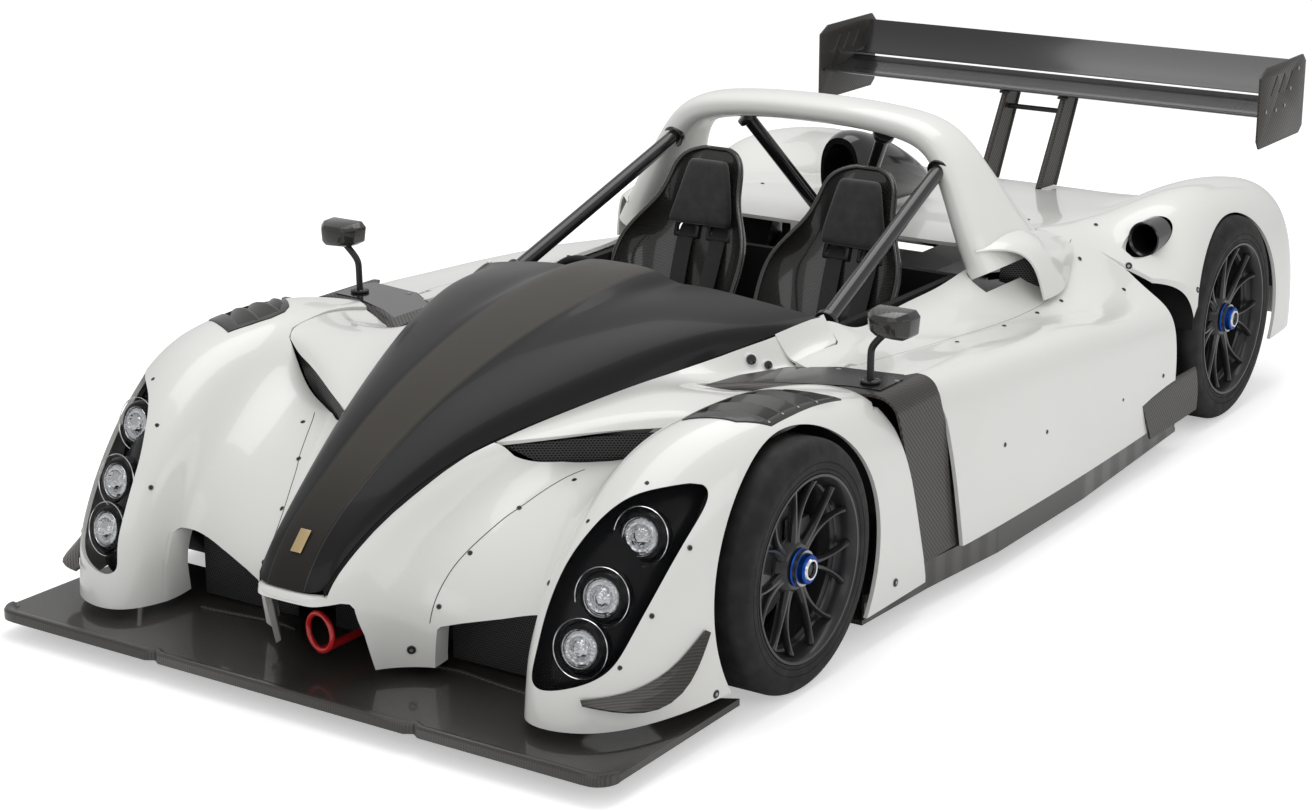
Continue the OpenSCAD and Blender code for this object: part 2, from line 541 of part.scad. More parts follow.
// ---- floor, splitter and sides ----
splitter_z = ride_height;
floor_z = ride_height + 5;
function splitter_outline() = concat(
  [[X(540), -232], [X(600), -265], [X(800), -265], [X(850), -237], [X(856), -700]],
  [for (a = [0:15:75]) [X(806) + 50 * cos(a), -700 - 50 * sin(a)]],
  [[X(800), -front_overhang], [X(385), -front_overhang], [X(365), 12 - front_overhang],
    [X(345), -front_overhang]]);
module splitter() color(carbon) place() translate([0, 0, splitter_z])
  linear_extrude(splitter_t) polygon(concat(splitter_outline(),
    [for (i = [len(splitter_outline()) - 1:-1:0])
      [-splitter_outline()[i][0], splitter_outline()[i][1]]]));

module floor_pan() color(carbon) place() translate([0, 0, floor_z]) difference() {
  linear_extrude(floor_t) polygon([
    [X(540), -232], [X(540), 300], [X(845), 300], [X(856), Y(600)], [X(882), Y(915)],
    [X(882), Y(1400)], [X(845), Y(2090)], [X(560), Y(2090)], [X(560), Y(2300)],
    [-X(560), Y(2300)], [-X(560), Y(2090)], [-X(845), Y(2090)], [-X(882), Y(1400)],
    [-X(882), Y(915)], [-X(856), Y(600)], [-X(845), 300], [-X(540), 300], [-X(540), -232]]);
}

module sills() color(carbon) place() both() translate([0, 0, floor_z + floor_t])
  linear_extrude(58) polygon([
    [X(838), 310], [X(845), 310], [X(856), Y(600)], [X(882), Y(915)], [X(882), Y(1400)],
    [X(845), Y(2085)], [X(820), Y(2085)], [X(850), Y(1400)], [X(850), Y(915)],
    [X(832), Y(600)]]);

module diffuser() color(carbon) place() {
  translate([0, Y(2302), 0]) rotate([90, 0, 90]) translate([0, 0, -X(500)])
    linear_extrude(X(1000)) polygon([[0, floor_z], [560, 190], [560, 200], [0, floor_z + 10]]);
  for (k = [-2:2]) translate([k * X(240) - 4, Y(2302), 0]) rotate([90, 0, 90])
    linear_extrude(8) polygon([[0, floor_z - 1], [560, 120], [560, 190], [0, floor_z]]);
}

module side_vanes() color(carbon) place() both() {
  profile = concat([[X(862), 123], [X(863), 300]],
    [for (a = [0:15:75]) [X(863) - 48 + 48 * cos(a), 522 + 48 * sin(a)]],
    [[X(700), 572], [X(440), 574]]);
  inner = [for (i = [len(profile) - 1:-1:0]) profile[i] + (i > 1 ? [0, -7] : [-8, 0])];
  intersection() {
    translate([0, Y(732), 0]) rotate([90, 0, 0]) linear_extrude(Y(732) - Y(200))
      polygon(concat(profile, inner));
    difference() {
      behind(concat([[200, 900], [200, 564], [397, 564]], part_of([vane_edge], 0, 0, 1, 6)[0]), 0);
      behind(rear_edge, 0);
    }
    linear_extrude(900) polygon([for (p = vane_plan) [X(p[0]), Y(p[1])]]);
  }
}

module mirrors() color(satin_black) place() both() {
  translate([X(757), Y(472), 574.5]) cylinder(h = 6, r = 24);
  bar([X(757), Y(472), 578], [X(797), Y(466), 706], 9);
  translate([X(808) - 64, Y(465), 722]) rotate([90, 0, 90]) linear_extrude(136)
    polygon([[-36, -26], [24, -34], [36, 24], [-8, 34], [-42, 14]]);
}

// A curved blade on each front corner, from the body outwards
dive_rows = [
  [[707, -622, 160], [711, -625, 156], [715, -628, 152]],
  [[757, -574, 164], [772, -586, 154], [786, -596, 144]],
  [[793, -516, 174], [818, -528, 158], [838, -538, 140]],
  [[817, -450, 196], [840, -458, 178], [858, -464, 160]],
  [[831, -396, 229], [846, -400, 218], [858, -402, 206]],
  [[838, -356, 254], [845, -354, 252], [850, -352, 249]]
];
module dive_planes() color(carbon) place() both() wall(surface_grid(pts(dive_rows), 12, 4), 5);

module tow_eye() color([0.75, 0.04, 0.04]) place() {
  translate([0, -600, 147]) rotate([90, 0, 0]) rotate_extrude()
    polygon([[30, -5], [33, -8], [42, -8], [46, -4], [46, 4], [42, 8], [33, 8], [30, 5]]);
  translate([-9, -604, 96]) cube([18, 273.8, 12]);
}

module intake_mesh() color(satin_black) place() {
  difference() {
    translate([-115, -420, 86]) cube([230, 8, 130]);
    translate([-12, -430, 90]) cube([24, 30, 22]);
  }
  both() translate([X(240), -400, 86]) cube([X(270), 8, 150]);
}

// ---- cockpit ----
tub_floor = 18;
rack_z = 176;
module tub() color(satin_black) place() translate([0, 0, floor_z + floor_t]) difference() {
  union() {
    translate([-300, -330, 9]) cube([600, 110, 291]);
    translate([-300, -230, 0]) cube([600, 561, 300]);
    translate([-tub_half_w, 330, 0]) cube([2 * tub_half_w, Y(680) - 330, 474]);
    translate([-tub_half_w, 640, 0]) cube([2 * tub_half_w, Y(1470) - 640, 520]);
  }
  translate([0, 0, tub_floor]) {
    translate([tub_wall - 300, tub_wall - 330, 0]) cube([600 - 2 * tub_wall, 730, 900]);
    translate([tub_wall - tub_half_w, 330 + tub_wall, 0])
      cube([2 * (tub_half_w - tub_wall), Y(1470) - 330 - 2 * tub_wall, 900]);
  }
  translate([-400, steer_arm, rack_z - floor_z - floor_t]) rotate([0, 90, 0])
    cylinder(h = 800, r = rack_r + 12);
}

column_tilt = 27;
wheel_centre = [-seat_x, Y(800), 560];
// Length of the steering column, down to just above the rack
column_l = (Y(800) - steer_arm) / cos(column_tilt) - 45;
module dashboard() color(satin_black) place() difference() {
  translate([0.5 - tub_half_w + tub_wall, Y(640), 430])
    cube([2 * (tub_half_w - tub_wall) - 1, 60, 200]);
  translate(wheel_centre) rotate([90 + column_tilt, 0, 0]) translate([0, 0, 50])
    cylinder(h = 400, r = 22);
}

// A seat's rows run up the seat, each across from one edge over the middle to the other
seat_rows = [
  // y, z of the middle, half width, height of the side wings in front of the middle
  [700, 190, 190, 40], [800, 165, 200, 90], [960, 150, 205, 120], [1090, 170, 205, 150],
  [1180, 260, 200, 170], [1230, 380, 195, 150], [1270, 500, 200, 130], [1305, 610, 195, 100],
  [1335, 700, 130, 60], [1362, 780, 100, 45], [1378, 838, 82, 30]
];
function seat_across(row, i) =
  let(a = seat_rows[max(i - 1, 0)], b = seat_rows[min(i + 1, len(seat_rows) - 1)],
      along = [0, b[0] - a[0], b[1] - a[1]], face = cross([1, 0, 0], along) / norm(along))
  [for (u = [-1, -0.92, -0.7, -0.35, 0, 0.35, 0.7, 0.92, 1])
    [u * row[2] * (seat_half_w / 205), Y(row[0]), row[1]]
      + face * row[3] * pow(abs(u), 4)];
module seats() color(carbon) place() both() translate([seat_x, 0, 0])
  wall(surface_grid([for (i = [0:len(seat_rows) - 1]) seat_across(seat_rows[i], i)], 15, 10),
    seat_skin);

// A cushion over the rows a to b of a seat, within a part of its width
module cushion(a, b, width, deep) wall(surface_grid([for (i = [a:b])
  let(q = seat_rows[i], along = seat_rows[min(i + 1, 10)] - seat_rows[i - 1],
      face = [0, -along[1], along[0]] / norm([along[0], along[1]]))
  [for (u = [-1, -0.5, 0, 0.5, 1]) [u * width * q[2], Y(q[0]), q[1]]
    + face * (deep + 14 + q[3] * pow(abs(u * width), 4))]], 5, 5), deep);
module seat_pads() color([0.05, 0.05, 0.05]) place() both() translate([seat_x, 0, 0]) {
  cushion(1, 3, 0.56, 22);
  cushion(8, 10, 0.7, 20);
}

module harnesses() color([0.03, 0.03, 0.03]) place() both() for (s = [-1, 1])
  translate([seat_x + s * 50 - 24, Y(1262) - 72, 330]) rotate([-16, 0, 0])
    cube([48, 4, 240]);

// ---- engine and suspension ----
module engine() color([0.3, 0.3, 0.32]) place() {
  translate([-210, Y(1530), floor_z + floor_t + 20]) cube([420, 480, 400]);
  translate([-124, Y(1530) + 479, floor_z + floor_t + 86]) cube([248, Y(2457) - Y(1530) - 340, 234]);
}

knuckle_low = [705, 0, 172];
knuckle_high = [685, 0, 402];
wish_r = 11;
module front_wishbones() color(satin_black) place() both() {
  for (s = [-1, 1]) {
    bar([312, 150 * s, 124], [front_wheel_x - 80, 10 * s, front_r - 158], wish_r);
    bar([312, 140 * s, 330], [front_wheel_x - 80, 10 * s, front_r + 158], wish_r);
    translate([300.2, 150 * s - 20, 106]) cube([18, 40, 36]);
    translate([300.2, 140 * s - 20, 312]) cube([18, 40, 36]);
  }
  for (z = [front_r - 169, front_r + 147]) translate([front_wheel_x - 80, 0, z])
    cylinder(h = 22, r = 22);
}
module rear_wishbones() color(satin_black) place() both() translate([0, Y(2457), 0])
  for (s = [-1, 1]) {
    bar([128, 150 * s, 182], [rear_wheel_x - 90, 30 * s, rear_r - 154], wish_r);
    bar([128, 130 * s, 350], [rear_wheel_x - 90, 26 * s, rear_r + 154], wish_r);
  }

module upright(x, y, z, arm) translate([x, y, z]) difference() {
  union() {
    rotate([0, 90, 0]) cylinder(h = 50, r = 62, center = true);
    translate([-20, -28, -140]) cube([32, 56, 266]);
    if (arm > 0) translate([-30, 20, -95]) cube([30, arm, 14]);
    // caliper over the disc
    translate([20, 96, -62]) cube([58, 64, 124]);
    translate([-20, 40, -30]) cube([40, 80, 60]);
  }
  rotate([0, 90, 0]) cylinder(h = 200, r = spindle_r + spindle_fit, center = true);
  translate([40, 0, 0]) rotate([0, 90, 0]) cylinder(h = 25, r = disc_r + 6, center = true);
}
module front_upright_left() color(steel) place() upright(front_wheel_x - 80, 0, front_r, steer_arm);
module front_upright_right() color(steel) place() mirror([1, 0, 0])
  upright(front_wheel_x - 80, 0, front_r, steer_arm);
module rear_uprights() color(steel) place() both()
  upright(rear_wheel_x - 90, Y(2457), rear_r, 0);

module steering_wheel() color(satin_black) place() translate(wheel_centre)
  rotate([90 + column_tilt, 0, 0]) {
    difference() {
      translate([0, 0, -13]) cylinder(h = 26, r = steering_wheel_d / 2);
      translate([0, 0, -14]) cylinder(h = 28, r = steering_wheel_d / 2 - 26);
    }
    translate([0, 0, -7]) cylinder(h = 14, r = 34);
    for (a = [0, 120, 240]) rotate(a - 90) translate([20, -13, -4])
      cube([steering_wheel_d / 2 - 34, 26, 8]);
    cylinder(h = column_l, r = 12);
  }

module steering_rack() color(steel) place() {
  bar([-370, steer_arm, rack_z], [370, steer_arm, rack_z], rack_r);
  both() bar([360, steer_arm, rack_z], [front_wheel_x - 90, steer_arm, rack_z], 9);
}
module rack_housing() color(steel) place() difference() {
  union() {
    translate([-312, steer_arm, rack_z]) rotate([0, 90, 0]) cylinder(h = 624, r = rack_r + 12);
    translate(wheel_centre) rotate([90 + column_tilt, 0, 0]) translate([0, 0, column_l - 45])
      cylinder(h = 70, r = 24);
  }
  translate([-400, steer_arm, rack_z]) rotate([0, 90, 0]) cylinder(h = 800, r = rack_r + 5);
  translate(wheel_centre) rotate([90 + column_tilt, 0, 0]) translate([0, 0, column_l - 50])
    cylinder(h = 62, r = 18);
}

// ---- wheels, drawn for the left side with their axle along X ----
// A closed outline of a rim's wall, as [radius, place along the axle]
module rim(r, w, s) {
  rotate([0, 90, 0]) rotate_extrude() polygon([
    [r, -w / 2], [r, -w / 2 + 6], [r - 8, -w / 2 + 9], [r - 10, -w / 2 + 36],
    [r - 25, -w / 2 + 48], [r - 25, w / 2 - 48], [r - 10, w / 2 - 38], [r - 8, w / 2 - 9],
    [r, w / 2 - 6], [r, w / 2], [r - 6, w / 2], [r - 15, w / 2 - 12], [r - 17, w / 2 - 42],
    [r - 31, w / 2 - 54], [r - 31, -w / 2 + 50], [r - 16, -w / 2 + 38],
    [r - 14, -w / 2 + 12], [r - 6, -w / 2]]);
  intersection() {
    translate([w / 2 - 62, 0, 0]) rotate([90, 0, 90]) linear_extrude(60) {
      difference() {
        circle(r = 58);
        circle(r = spindle_r + 3);
      }
      for (k = [0:s - 1], side = [-1, 1]) rotate(360 * k / s) spoke_arm(r - 13, side * 90 / s);
    }
    rotate([0, 90, 0]) rotate_extrude() polygon([
      [0, w / 2 - 58], [60, w / 2 - 58], [r - 14, w / 2 - 40], [r - 12, w / 2 - 14],
      [r - 40, w / 2 - 14], [70, w / 2 - 30], [0, w / 2 - 30]]);
  }
}
module spoke_arm(r, turn) {
  function middle(t) = let(a = turn * pow(max(t, 0), 1.6)) [r * (0.2 + 0.8 * t) * cos(a),
    r * (0.2 + 0.8 * t) * sin(a)];
  function edge(t, side) = let(d = middle(t + 0.01) - middle(t - 0.01), n = [-d[1], d[0]] / norm(d))
    middle(t) + n * side * (9 - 3.5 * t);
  polygon(concat([for (t = [0:0.125:1]) edge(t, 1)], [for (t = [1:-0.125:0]) edge(t, -1)]));
}
module tyre(outer, r, w) rotate([0, 90, 0]) rotate_extrude() polygon(concat(
  [[r - 7.7, -w / 2 + 9.5], [r + 0.4, -w / 2 + 6.3], [r + 2, -w / 2 - 0]],
  [[r + 22, -w / 2 - 1]],
  [for (a = [10:16:90]) [outer - 44 + 44 * sin(a), -w / 2 + 38 - 40 * cos(a)]],
  [for (a = [90:-16:10]) [outer - 44 + 44 * sin(a), w / 2 - 38 + 40 * cos(a)]],
  [[r + 22, w / 2 + 1], [r + 2, w / 2], [r + 0.4, w / 2 - 6.3], [r - 7.7, w / 2 - 9.5]]));
module hub(w, back) {
  rotate([0, 90, 0]) {
    translate([0, 0, -back - 40]) cylinder(h = back + w / 2 + 12, r = spindle_r);
    translate([0, 0, -back + 33]) cylinder(h = 14, r = disc_r);
    translate([0, 0, w / 2 - 66]) cylinder(h = 8, r = 58);
    translate([0, 0, w / 2 - 30]) cylinder(h = 16, r = 40);
  }
}
module at_wheel(x, y, z) place() translate([x, y, z]) children();
module at_right(x, y, z) place() mirror([1, 0, 0]) translate([x, y, z]) children();

module front_rim_left() color(satin_black) at_wheel(front_wheel_x, 0, front_r)
  rim(front_rim_r, front_tyre_w - 8, spokes);
module front_rim_right() color(satin_black) at_right(front_wheel_x, 0, front_r)
  rim(front_rim_r, front_tyre_w - 8, spokes);
module rear_rim_left() color(satin_black) at_wheel(rear_wheel_x, Y(2457), rear_r)
  rim(rear_rim_r, rear_tyre_w - 12, spokes);
module rear_rim_right() color(satin_black) at_right(rear_wheel_x, Y(2457), rear_r)
  rim(rear_rim_r, rear_tyre_w - 12, spokes);
module front_tyre_left() color(rubber) at_wheel(front_wheel_x, 0, front_r)
  tyre(front_r, front_rim_r, front_tyre_w - 8);
module front_tyre_right() color(rubber) at_right(front_wheel_x, 0, front_r)
  tyre(front_r, front_rim_r, front_tyre_w - 8);
module rear_tyre_left() color(rubber) at_wheel(rear_wheel_x, Y(2457), rear_r)
  tyre(rear_r, rear_rim_r, rear_tyre_w - 12);
module rear_tyre_right() color(rubber) at_right(rear_wheel_x, Y(2457), rear_r)
  tyre(rear_r, rear_rim_r, rear_tyre_w - 12);
module front_hub_left() color([0.1, 0.25, 0.6]) at_wheel(front_wheel_x, 0, front_r)
  hub(front_tyre_w - 8, 80);
module front_hub_right() color([0.1, 0.25, 0.6]) at_right(front_wheel_x, 0, front_r)
  hub(front_tyre_w - 8, 80);
module rear_hub_left() color([0.1, 0.25, 0.6]) at_wheel(rear_wheel_x, Y(2457), rear_r)
  hub(rear_tyre_w - 12, 90);
module rear_hub_right() color([0.1, 0.25, 0.6]) at_right(rear_wheel_x, Y(2457), rear_r)
  hub(rear_tyre_w - 12, 90);

// ---- wing ----
// A cambered wing section of a given chord, nose at the origin, upside down for downforce
function aerofoil(chord, thick, camber) = concat(
  [for (k = [0:12]) let(t = pow(k / 12, 2), th = thick * (1.4 * sqrt(t) - 0.6 * t - 0.8 * t * t))
    [chord * t, th / 2 - camber * 4 * t * (1 - t)]],
  [for (k = [12:-1:1]) let(t = pow(k / 12, 2), th = thick * (1.4 * sqrt(t) - 0.6 * t - 0.8 * t * t))
    [chord * t, -th / 2 - camber * 4 * t * (1 - t) - 1.5]]);
module span(w) rotate([90, 0, 90]) translate([0, 0, -w / 2]) linear_extrude(w) children();
module wing_main() color(satin_black) place() translate([0, Y(2457) + 375, 820]) rotate([6, 0, 0])
  span(wing_span) polygon(aerofoil(main_chord, 26, 14));
module wing_flap() color(satin_black) place() translate([0, Y(2457) + 575, 852]) rotate([38, 0, 0])
  span(wing_span) polygon(aerofoil(flap_chord, 16, 10));
module endplates() color(satin_black) place() both()
  translate([wing_span / 2 + 0.2, Y(2457) + 350, 720]) rotate([90, 0, 90])
    linear_extrude(endplate_t) polygon([[10, 25], [30, 0], [350, 0], [376, 20], [376, 220],
      [350, 243], [60, 240], [10, 215]]);
module wing_supports() color(carbon) place() both() translate([100, Y(2457), 0])
  rotate([90, 0, 90]) translate([0, 0, -5]) linear_extrude(10)
    polygon([[250, 546], [360, 541], [497, 802], [400, 798]]);
module tail_panel() color(white) place() difference() {
  translate([0, Y(2457) + 501, 0]) rotate([90, 0, 0]) linear_extrude(8) polygon(concat(
    [for (p = whole(rear_rows[9])) if (p[2] > 100) [X(p[0]) * 0.985, p[2] - 13]],
    [[X(818), 200], [X(520), 200], [X(520), 250], [-X(520), 250], [-X(520), 200], [-X(818), 200]]));
  translate([-X(430), Y(2457) + 480, 290]) cube([X(860), 40, 140]);
}
module tail_lights() color([0.6, 0.03, 0.03]) place() both()
  for (x = [600, 690]) translate([X(x), Y(2457) + 501.2, 420]) rotate([-90, 0, 0])
    cylinder(h = 12, r = 36);

splitter();
floor_pan();
sills();
diffuser();
front_clam();
brow_panels();
bonnet();
headlight_units();
headlight_lenses();
fender_louvres();
side_vanes();
mirrors();
dive_planes();
tow_eye();
intake_mesh();
side_pods();
cockpit_sides();
tub();
dashboard();
seats();
seat_pads();
harnesses();
roll_hoop();
stays();
airbox();
engine();
rear_clam();
side_scoops();
oval_ducts();
wing_supports();
wing_main();
wing_flap();
endplates();
tail_lights();
front_wishbones();
rear_wishbones();
rear_uprights();
steering_wheel();
steering_rack();
rack_housing();
tail_panel();
front_upright_left();
front_upright_right();
front_rim_left();
front_rim_right();
rear_rim_left();
rear_rim_right();
front_tyre_left();
front_tyre_right();
rear_tyre_left();
rear_tyre_right();
front_hub_left();
front_hub_right();
rear_hub_left();
rear_hub_right();
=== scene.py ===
import math

import bpy
import numpy as np
from mathutils import Matrix, Vector
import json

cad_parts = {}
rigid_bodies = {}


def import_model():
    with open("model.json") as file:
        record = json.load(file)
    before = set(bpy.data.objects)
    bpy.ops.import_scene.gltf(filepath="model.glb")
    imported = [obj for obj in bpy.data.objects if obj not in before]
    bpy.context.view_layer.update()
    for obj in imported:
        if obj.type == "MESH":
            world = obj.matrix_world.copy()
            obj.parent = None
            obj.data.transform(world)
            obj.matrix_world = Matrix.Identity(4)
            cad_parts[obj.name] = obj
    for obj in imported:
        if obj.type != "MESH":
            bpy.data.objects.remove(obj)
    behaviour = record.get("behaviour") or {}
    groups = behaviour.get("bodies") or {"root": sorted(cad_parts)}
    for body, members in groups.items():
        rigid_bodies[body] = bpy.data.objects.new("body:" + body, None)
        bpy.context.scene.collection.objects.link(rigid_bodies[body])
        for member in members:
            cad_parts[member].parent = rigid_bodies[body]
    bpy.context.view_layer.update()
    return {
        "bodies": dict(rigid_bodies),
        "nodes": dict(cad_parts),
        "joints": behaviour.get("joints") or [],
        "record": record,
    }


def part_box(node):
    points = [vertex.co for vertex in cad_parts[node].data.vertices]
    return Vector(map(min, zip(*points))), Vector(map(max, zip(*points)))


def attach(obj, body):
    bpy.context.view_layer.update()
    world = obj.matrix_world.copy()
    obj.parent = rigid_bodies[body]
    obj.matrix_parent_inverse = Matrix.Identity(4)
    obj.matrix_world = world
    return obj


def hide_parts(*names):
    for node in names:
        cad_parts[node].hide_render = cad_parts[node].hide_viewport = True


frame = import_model()

bl_info = {
    "name": "Track sports car",
    "version": (1, 0, 0),
    "blender": (4, 5, 0),
    "location": "View3D > Sidebar > Track car",
    "description": "Builds the panels, wheels, cockpit, wing and finishes of a track sports car",
    "category": "Object",
}

# Lengths in the tables are in millimetres from the front axle's line on the ground.
MM = 0.001
FRONT_AXLE = (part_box("front_tyre_left")[0][1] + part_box("front_tyre_left")[1][1]) / 2


def car(points):
    """Points of a table, in metres in the car's own frame"""
    return np.asarray(points, float) * MM + (0, FRONT_AXLE, 0)


# ---------------------------------------------------------------- shapes


def deselect():
    if bpy.context.object and bpy.context.object.mode != "OBJECT":
        bpy.ops.object.mode_set(mode="OBJECT")
    bpy.ops.object.select_all(action="DESELECT")


def take(piece):
    deselect()
    piece.select_set(True)
    bpy.context.view_layer.objects.active = piece


def called(name):
    piece = bpy.context.object
    piece.name = name
    piece.data.name = name
    return piece


def edit(piece, step, *steps, **values):
    """Runs an edit-mode operator on the whole piece"""
    take(piece)
    bpy.ops.object.mode_set(mode="EDIT")
    bpy.ops.mesh.select_all(action="SELECT")
    step(**values)
    for more in steps:
        more()
    bpy.ops.object.mode_set(mode="OBJECT")
    return piece


def modify(piece, kind, **values):
    take(piece)
    bpy.ops.object.modifier_add(type=kind)
    modifier = piece.modifiers[-1]
    for key, value in values.items():
        setattr(modifier, key, value)
    bpy.ops.object.modifier_apply(modifier=modifier.name)
    return piece


def settle(piece):
    """Puts a piece's place into its mesh"""
    take(piece)
    bpy.ops.object.transform_apply(location=True, rotation=True, scale=True)
    return piece


def sheet(name, points):
    """A sheet of quads through rows of points, whose outside is up when rows run rearwards"""
    points = np.asarray(points, float)
    rows, columns = points.shape[:2]
    deselect()
    bpy.ops.mesh.primitive_grid_add(
        x_subdivisions=columns - 1, y_subdivisions=rows - 1, size=1)
    piece = called(name)
    piece.data.vertices.foreach_set("co", points.reshape(-1))
    piece.data.update()
    return piece


def wall(name, points, thickness):
    piece = sheet(name, points)
    return modify(piece, "SOLIDIFY", thickness=thickness, offset=-1)


def loft(name, rings, ends=True):
    """A closed skin over rings of points"""
    rings = np.asarray(rings, float)
    piece = sheet(name, np.concatenate([rings, rings[:, :1]], axis=1))
    edit(piece, bpy.ops.mesh.remove_doubles, threshold=0.00001)
    if ends:
        take(piece)
        bpy.ops.object.mode_set(mode="EDIT")
        bpy.ops.mesh.select_all(action="DESELECT")
        bpy.ops.mesh.select_mode(type="EDGE")
        bpy.ops.mesh.select_non_manifold(extend=False)
        bpy.ops.mesh.fill_holes(sides=0)
        bpy.ops.object.mode_set(mode="OBJECT")
    return edit(piece, bpy.ops.mesh.normals_make_consistent, inside=False)


def prism(name, outline, depth, matrix=None):
    """A flat outline drawn out along its own Z, from depth[0] to depth[1]"""
    deselect()
    bpy.ops.mesh.primitive_circle_add(vertices=len(outline), fill_type="NGON")
    piece = called(name)
    flat = [(p[0], p[1], depth[0]) for p in outline]
    piece.data.vertices.foreach_set("co", np.asarray(flat, float).reshape(-1))
    edit(piece, bpy.ops.mesh.extrude_region_move,
         TRANSFORM_OT_translate={"value": (0, 0, depth[1] - depth[0])})
    edit(piece, bpy.ops.mesh.normals_make_consistent, inside=False)
    if matrix is not None:
        piece.data.transform(matrix)
    return piece


def upright(name, outline, depth):
    """A plan outline in the table's millimetres, from one height to another"""
    flat = [(x * MM, y * MM + FRONT_AXLE) for x, y in outline]
    return prism(name, flat, (depth[0] * MM, depth[1] * MM))


SIDEWAYS = Matrix(((0, 0, 1, 0), (1, 0, 0, 0), (0, 1, 0, 0), (0, 0, 0, 1)))
FORWARD = Matrix(((1, 0, 0, 0), (0, 0, -1, 0), (0, 1, 0, 0), (0, 0, 0, 1)))


def profile(name, outline, across):
    """An outline in the side view's Y and Z, from one X to another"""
    flat = [(y * MM + FRONT_AXLE, z * MM) for y, z in outline]
    return prism(name, flat, (across[0] * MM, across[1] * MM), SIDEWAYS)


def rod(name, start, end, radius, steps=24, soft=0):
    """A round bar between two points in metres"""
    start, end = Vector(start), Vector(end)
    deselect()
    bpy.ops.mesh.primitive_cylinder_add(
        vertices=steps, radius=radius, depth=(end - start).length,
        location=(start + end) / 2, rotation=(end - start).to_track_quat("Z", "Y").to_euler())
    piece = settle(called(name))
    if soft:
        modify(piece, "BEVEL", width=soft, segments=3, limit_method="ANGLE", angle_limit=0.9)
    return piece


def disc(name, centre, normal, radius, height, steps=20, soft=0.0):
    centre, normal = Vector(centre), Vector(normal).normalized()
    return rod(name, centre, centre + normal * height, radius, steps, soft)


def tube(name, path, radius, steps=16, ends=True):
    """A bent round bar along a path in metres; radius may change along it"""
    path = np.asarray(path, float)
    radii = radius if hasattr(radius, "__len__") else [radius] * len(path)
    rings, side = [], None
    for i, point in enumerate(path):
        along = Vector(path[min(i + 1, len(path) - 1)] - path[max(i - 1, 0)]).normalized()
        if side is None:
            side = along.orthogonal().normalized()
        side = (side - along * side.dot(along)).normalized()
        up = along.cross(side)
        rings.append([Vector(point) + radii[i] * (side * math.cos(a) + up * math.sin(a))
                      for a in np.linspace(0, 2 * math.pi, steps, endpoint=False)])
    return loft(name, rings, ends)


def lathe(name, outline, steps, centre, side=1):
    """A closed outline of (radius, place along the axle) turned about an axle along X"""
    rings = []
    for radius, along in list(outline) + [outline[0]]:
        rings.append([(centre[0] + side * along, centre[1] + radius * math.cos(a),
                       centre[2] + radius * math.sin(a))
                      for a in np.linspace(0, 2 * math.pi, steps, endpoint=False)])
    piece = sheet(name, np.concatenate([rings, np.asarray(rings)[:, :1]], axis=1))
    edit(piece, bpy.ops.mesh.remove_doubles, threshold=0.00001)
    return edit(piece, bpy.ops.mesh.normals_make_consistent, inside=False)


def slab(name, size, centre, turn=(0, 0, 0), soft=0.002, segments=2):
    """A block with rounded edges"""
    deselect()
    bpy.ops.mesh.primitive_cube_add(size=1, location=centre, rotation=turn, scale=size)
    piece = settle(called(name))
    if soft:
        modify(piece, "BEVEL", width=soft, segments=segments, limit_method="NONE")
    return piece


def join(name, *pieces):
    pieces = [p for p in pieces if p is not None]
    take(pieces[0])
    for piece in pieces[1:]:
        piece.select_set(True)
    if len(pieces) > 1:
        bpy.ops.object.join()
    return called(name)


def both(piece):
    """Adds the mirror image on the car's other side"""
    return modify(piece, "MIRROR", use_mirror_merge=False)


def cut(piece, *cutters, keep=False):
    for cutter in cutters:
        modify(piece, "BOOLEAN", object=cutter, solver="EXACT",
               operation="INTERSECT" if keep else "DIFFERENCE")
        bpy.data.objects.remove(cutter)
    return piece


def done(piece, material, body="chassis", stands_for=(), angle=32):
    """Shades a finished piece, gives it its material, and has it ride on its body"""
    take(piece)
    bpy.ops.object.shade_smooth_by_angle(angle=math.radians(angle))
    piece.data.materials.clear()
    piece.data.materials.append(material)
    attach(piece, body)
    if stands_for:
        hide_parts(*stands_for)
    return piece


def curve_matrix(count, steps):
    """Weights that turn count points into steps + 1 points on the smooth curve by them"""
    lift = np.eye(count)
    for i in range(1, count - 1):
        lift[i, i - 1:i + 2] = (-1 / 6, 8 / 6, -1 / 6)
    weights = np.zeros((steps + 1, count))
    for k in range(steps + 1):
        s = k * (count - 1) / steps
        i = min(int(s), count - 2)
        t = s - i
        before, after = (1 - t) ** 3 / 6, t ** 3 / 6
        weights[k, i] += (3 * t ** 3 - 6 * t * t + 4) / 6
        weights[k, i + 1] += (3 * t * t + 3 * t - 3 * t ** 3 + 1) / 6
        if i > 0:
            weights[k, i - 1] += before
        else:
            weights[k, 0] += 2 * before
            weights[k, 1] -= before
        if i + 2 < count:
            weights[k, i + 2] += after
        else:
            weights[k, count - 1] += 2 * after
            weights[k, count - 2] -= after
    return weights @ lift


def smooth(points, steps):
    points = np.asarray(points, float)
    return curve_matrix(len(points), steps) @ points


def surface(rows, m, n):
    rows = np.asarray(rows, float)
    return np.einsum("ir,rcd,jc->ijd", curve_matrix(len(rows), m), rows,
                     curve_matrix(rows.shape[1], n))


def whole(rows):
    rows = np.asarray(rows, float)
    other = rows[:, :0:-1] * (-1, 1, 1)
    return np.concatenate([other, rows], axis=1)


# ---------------------------------------------------------------- finishes


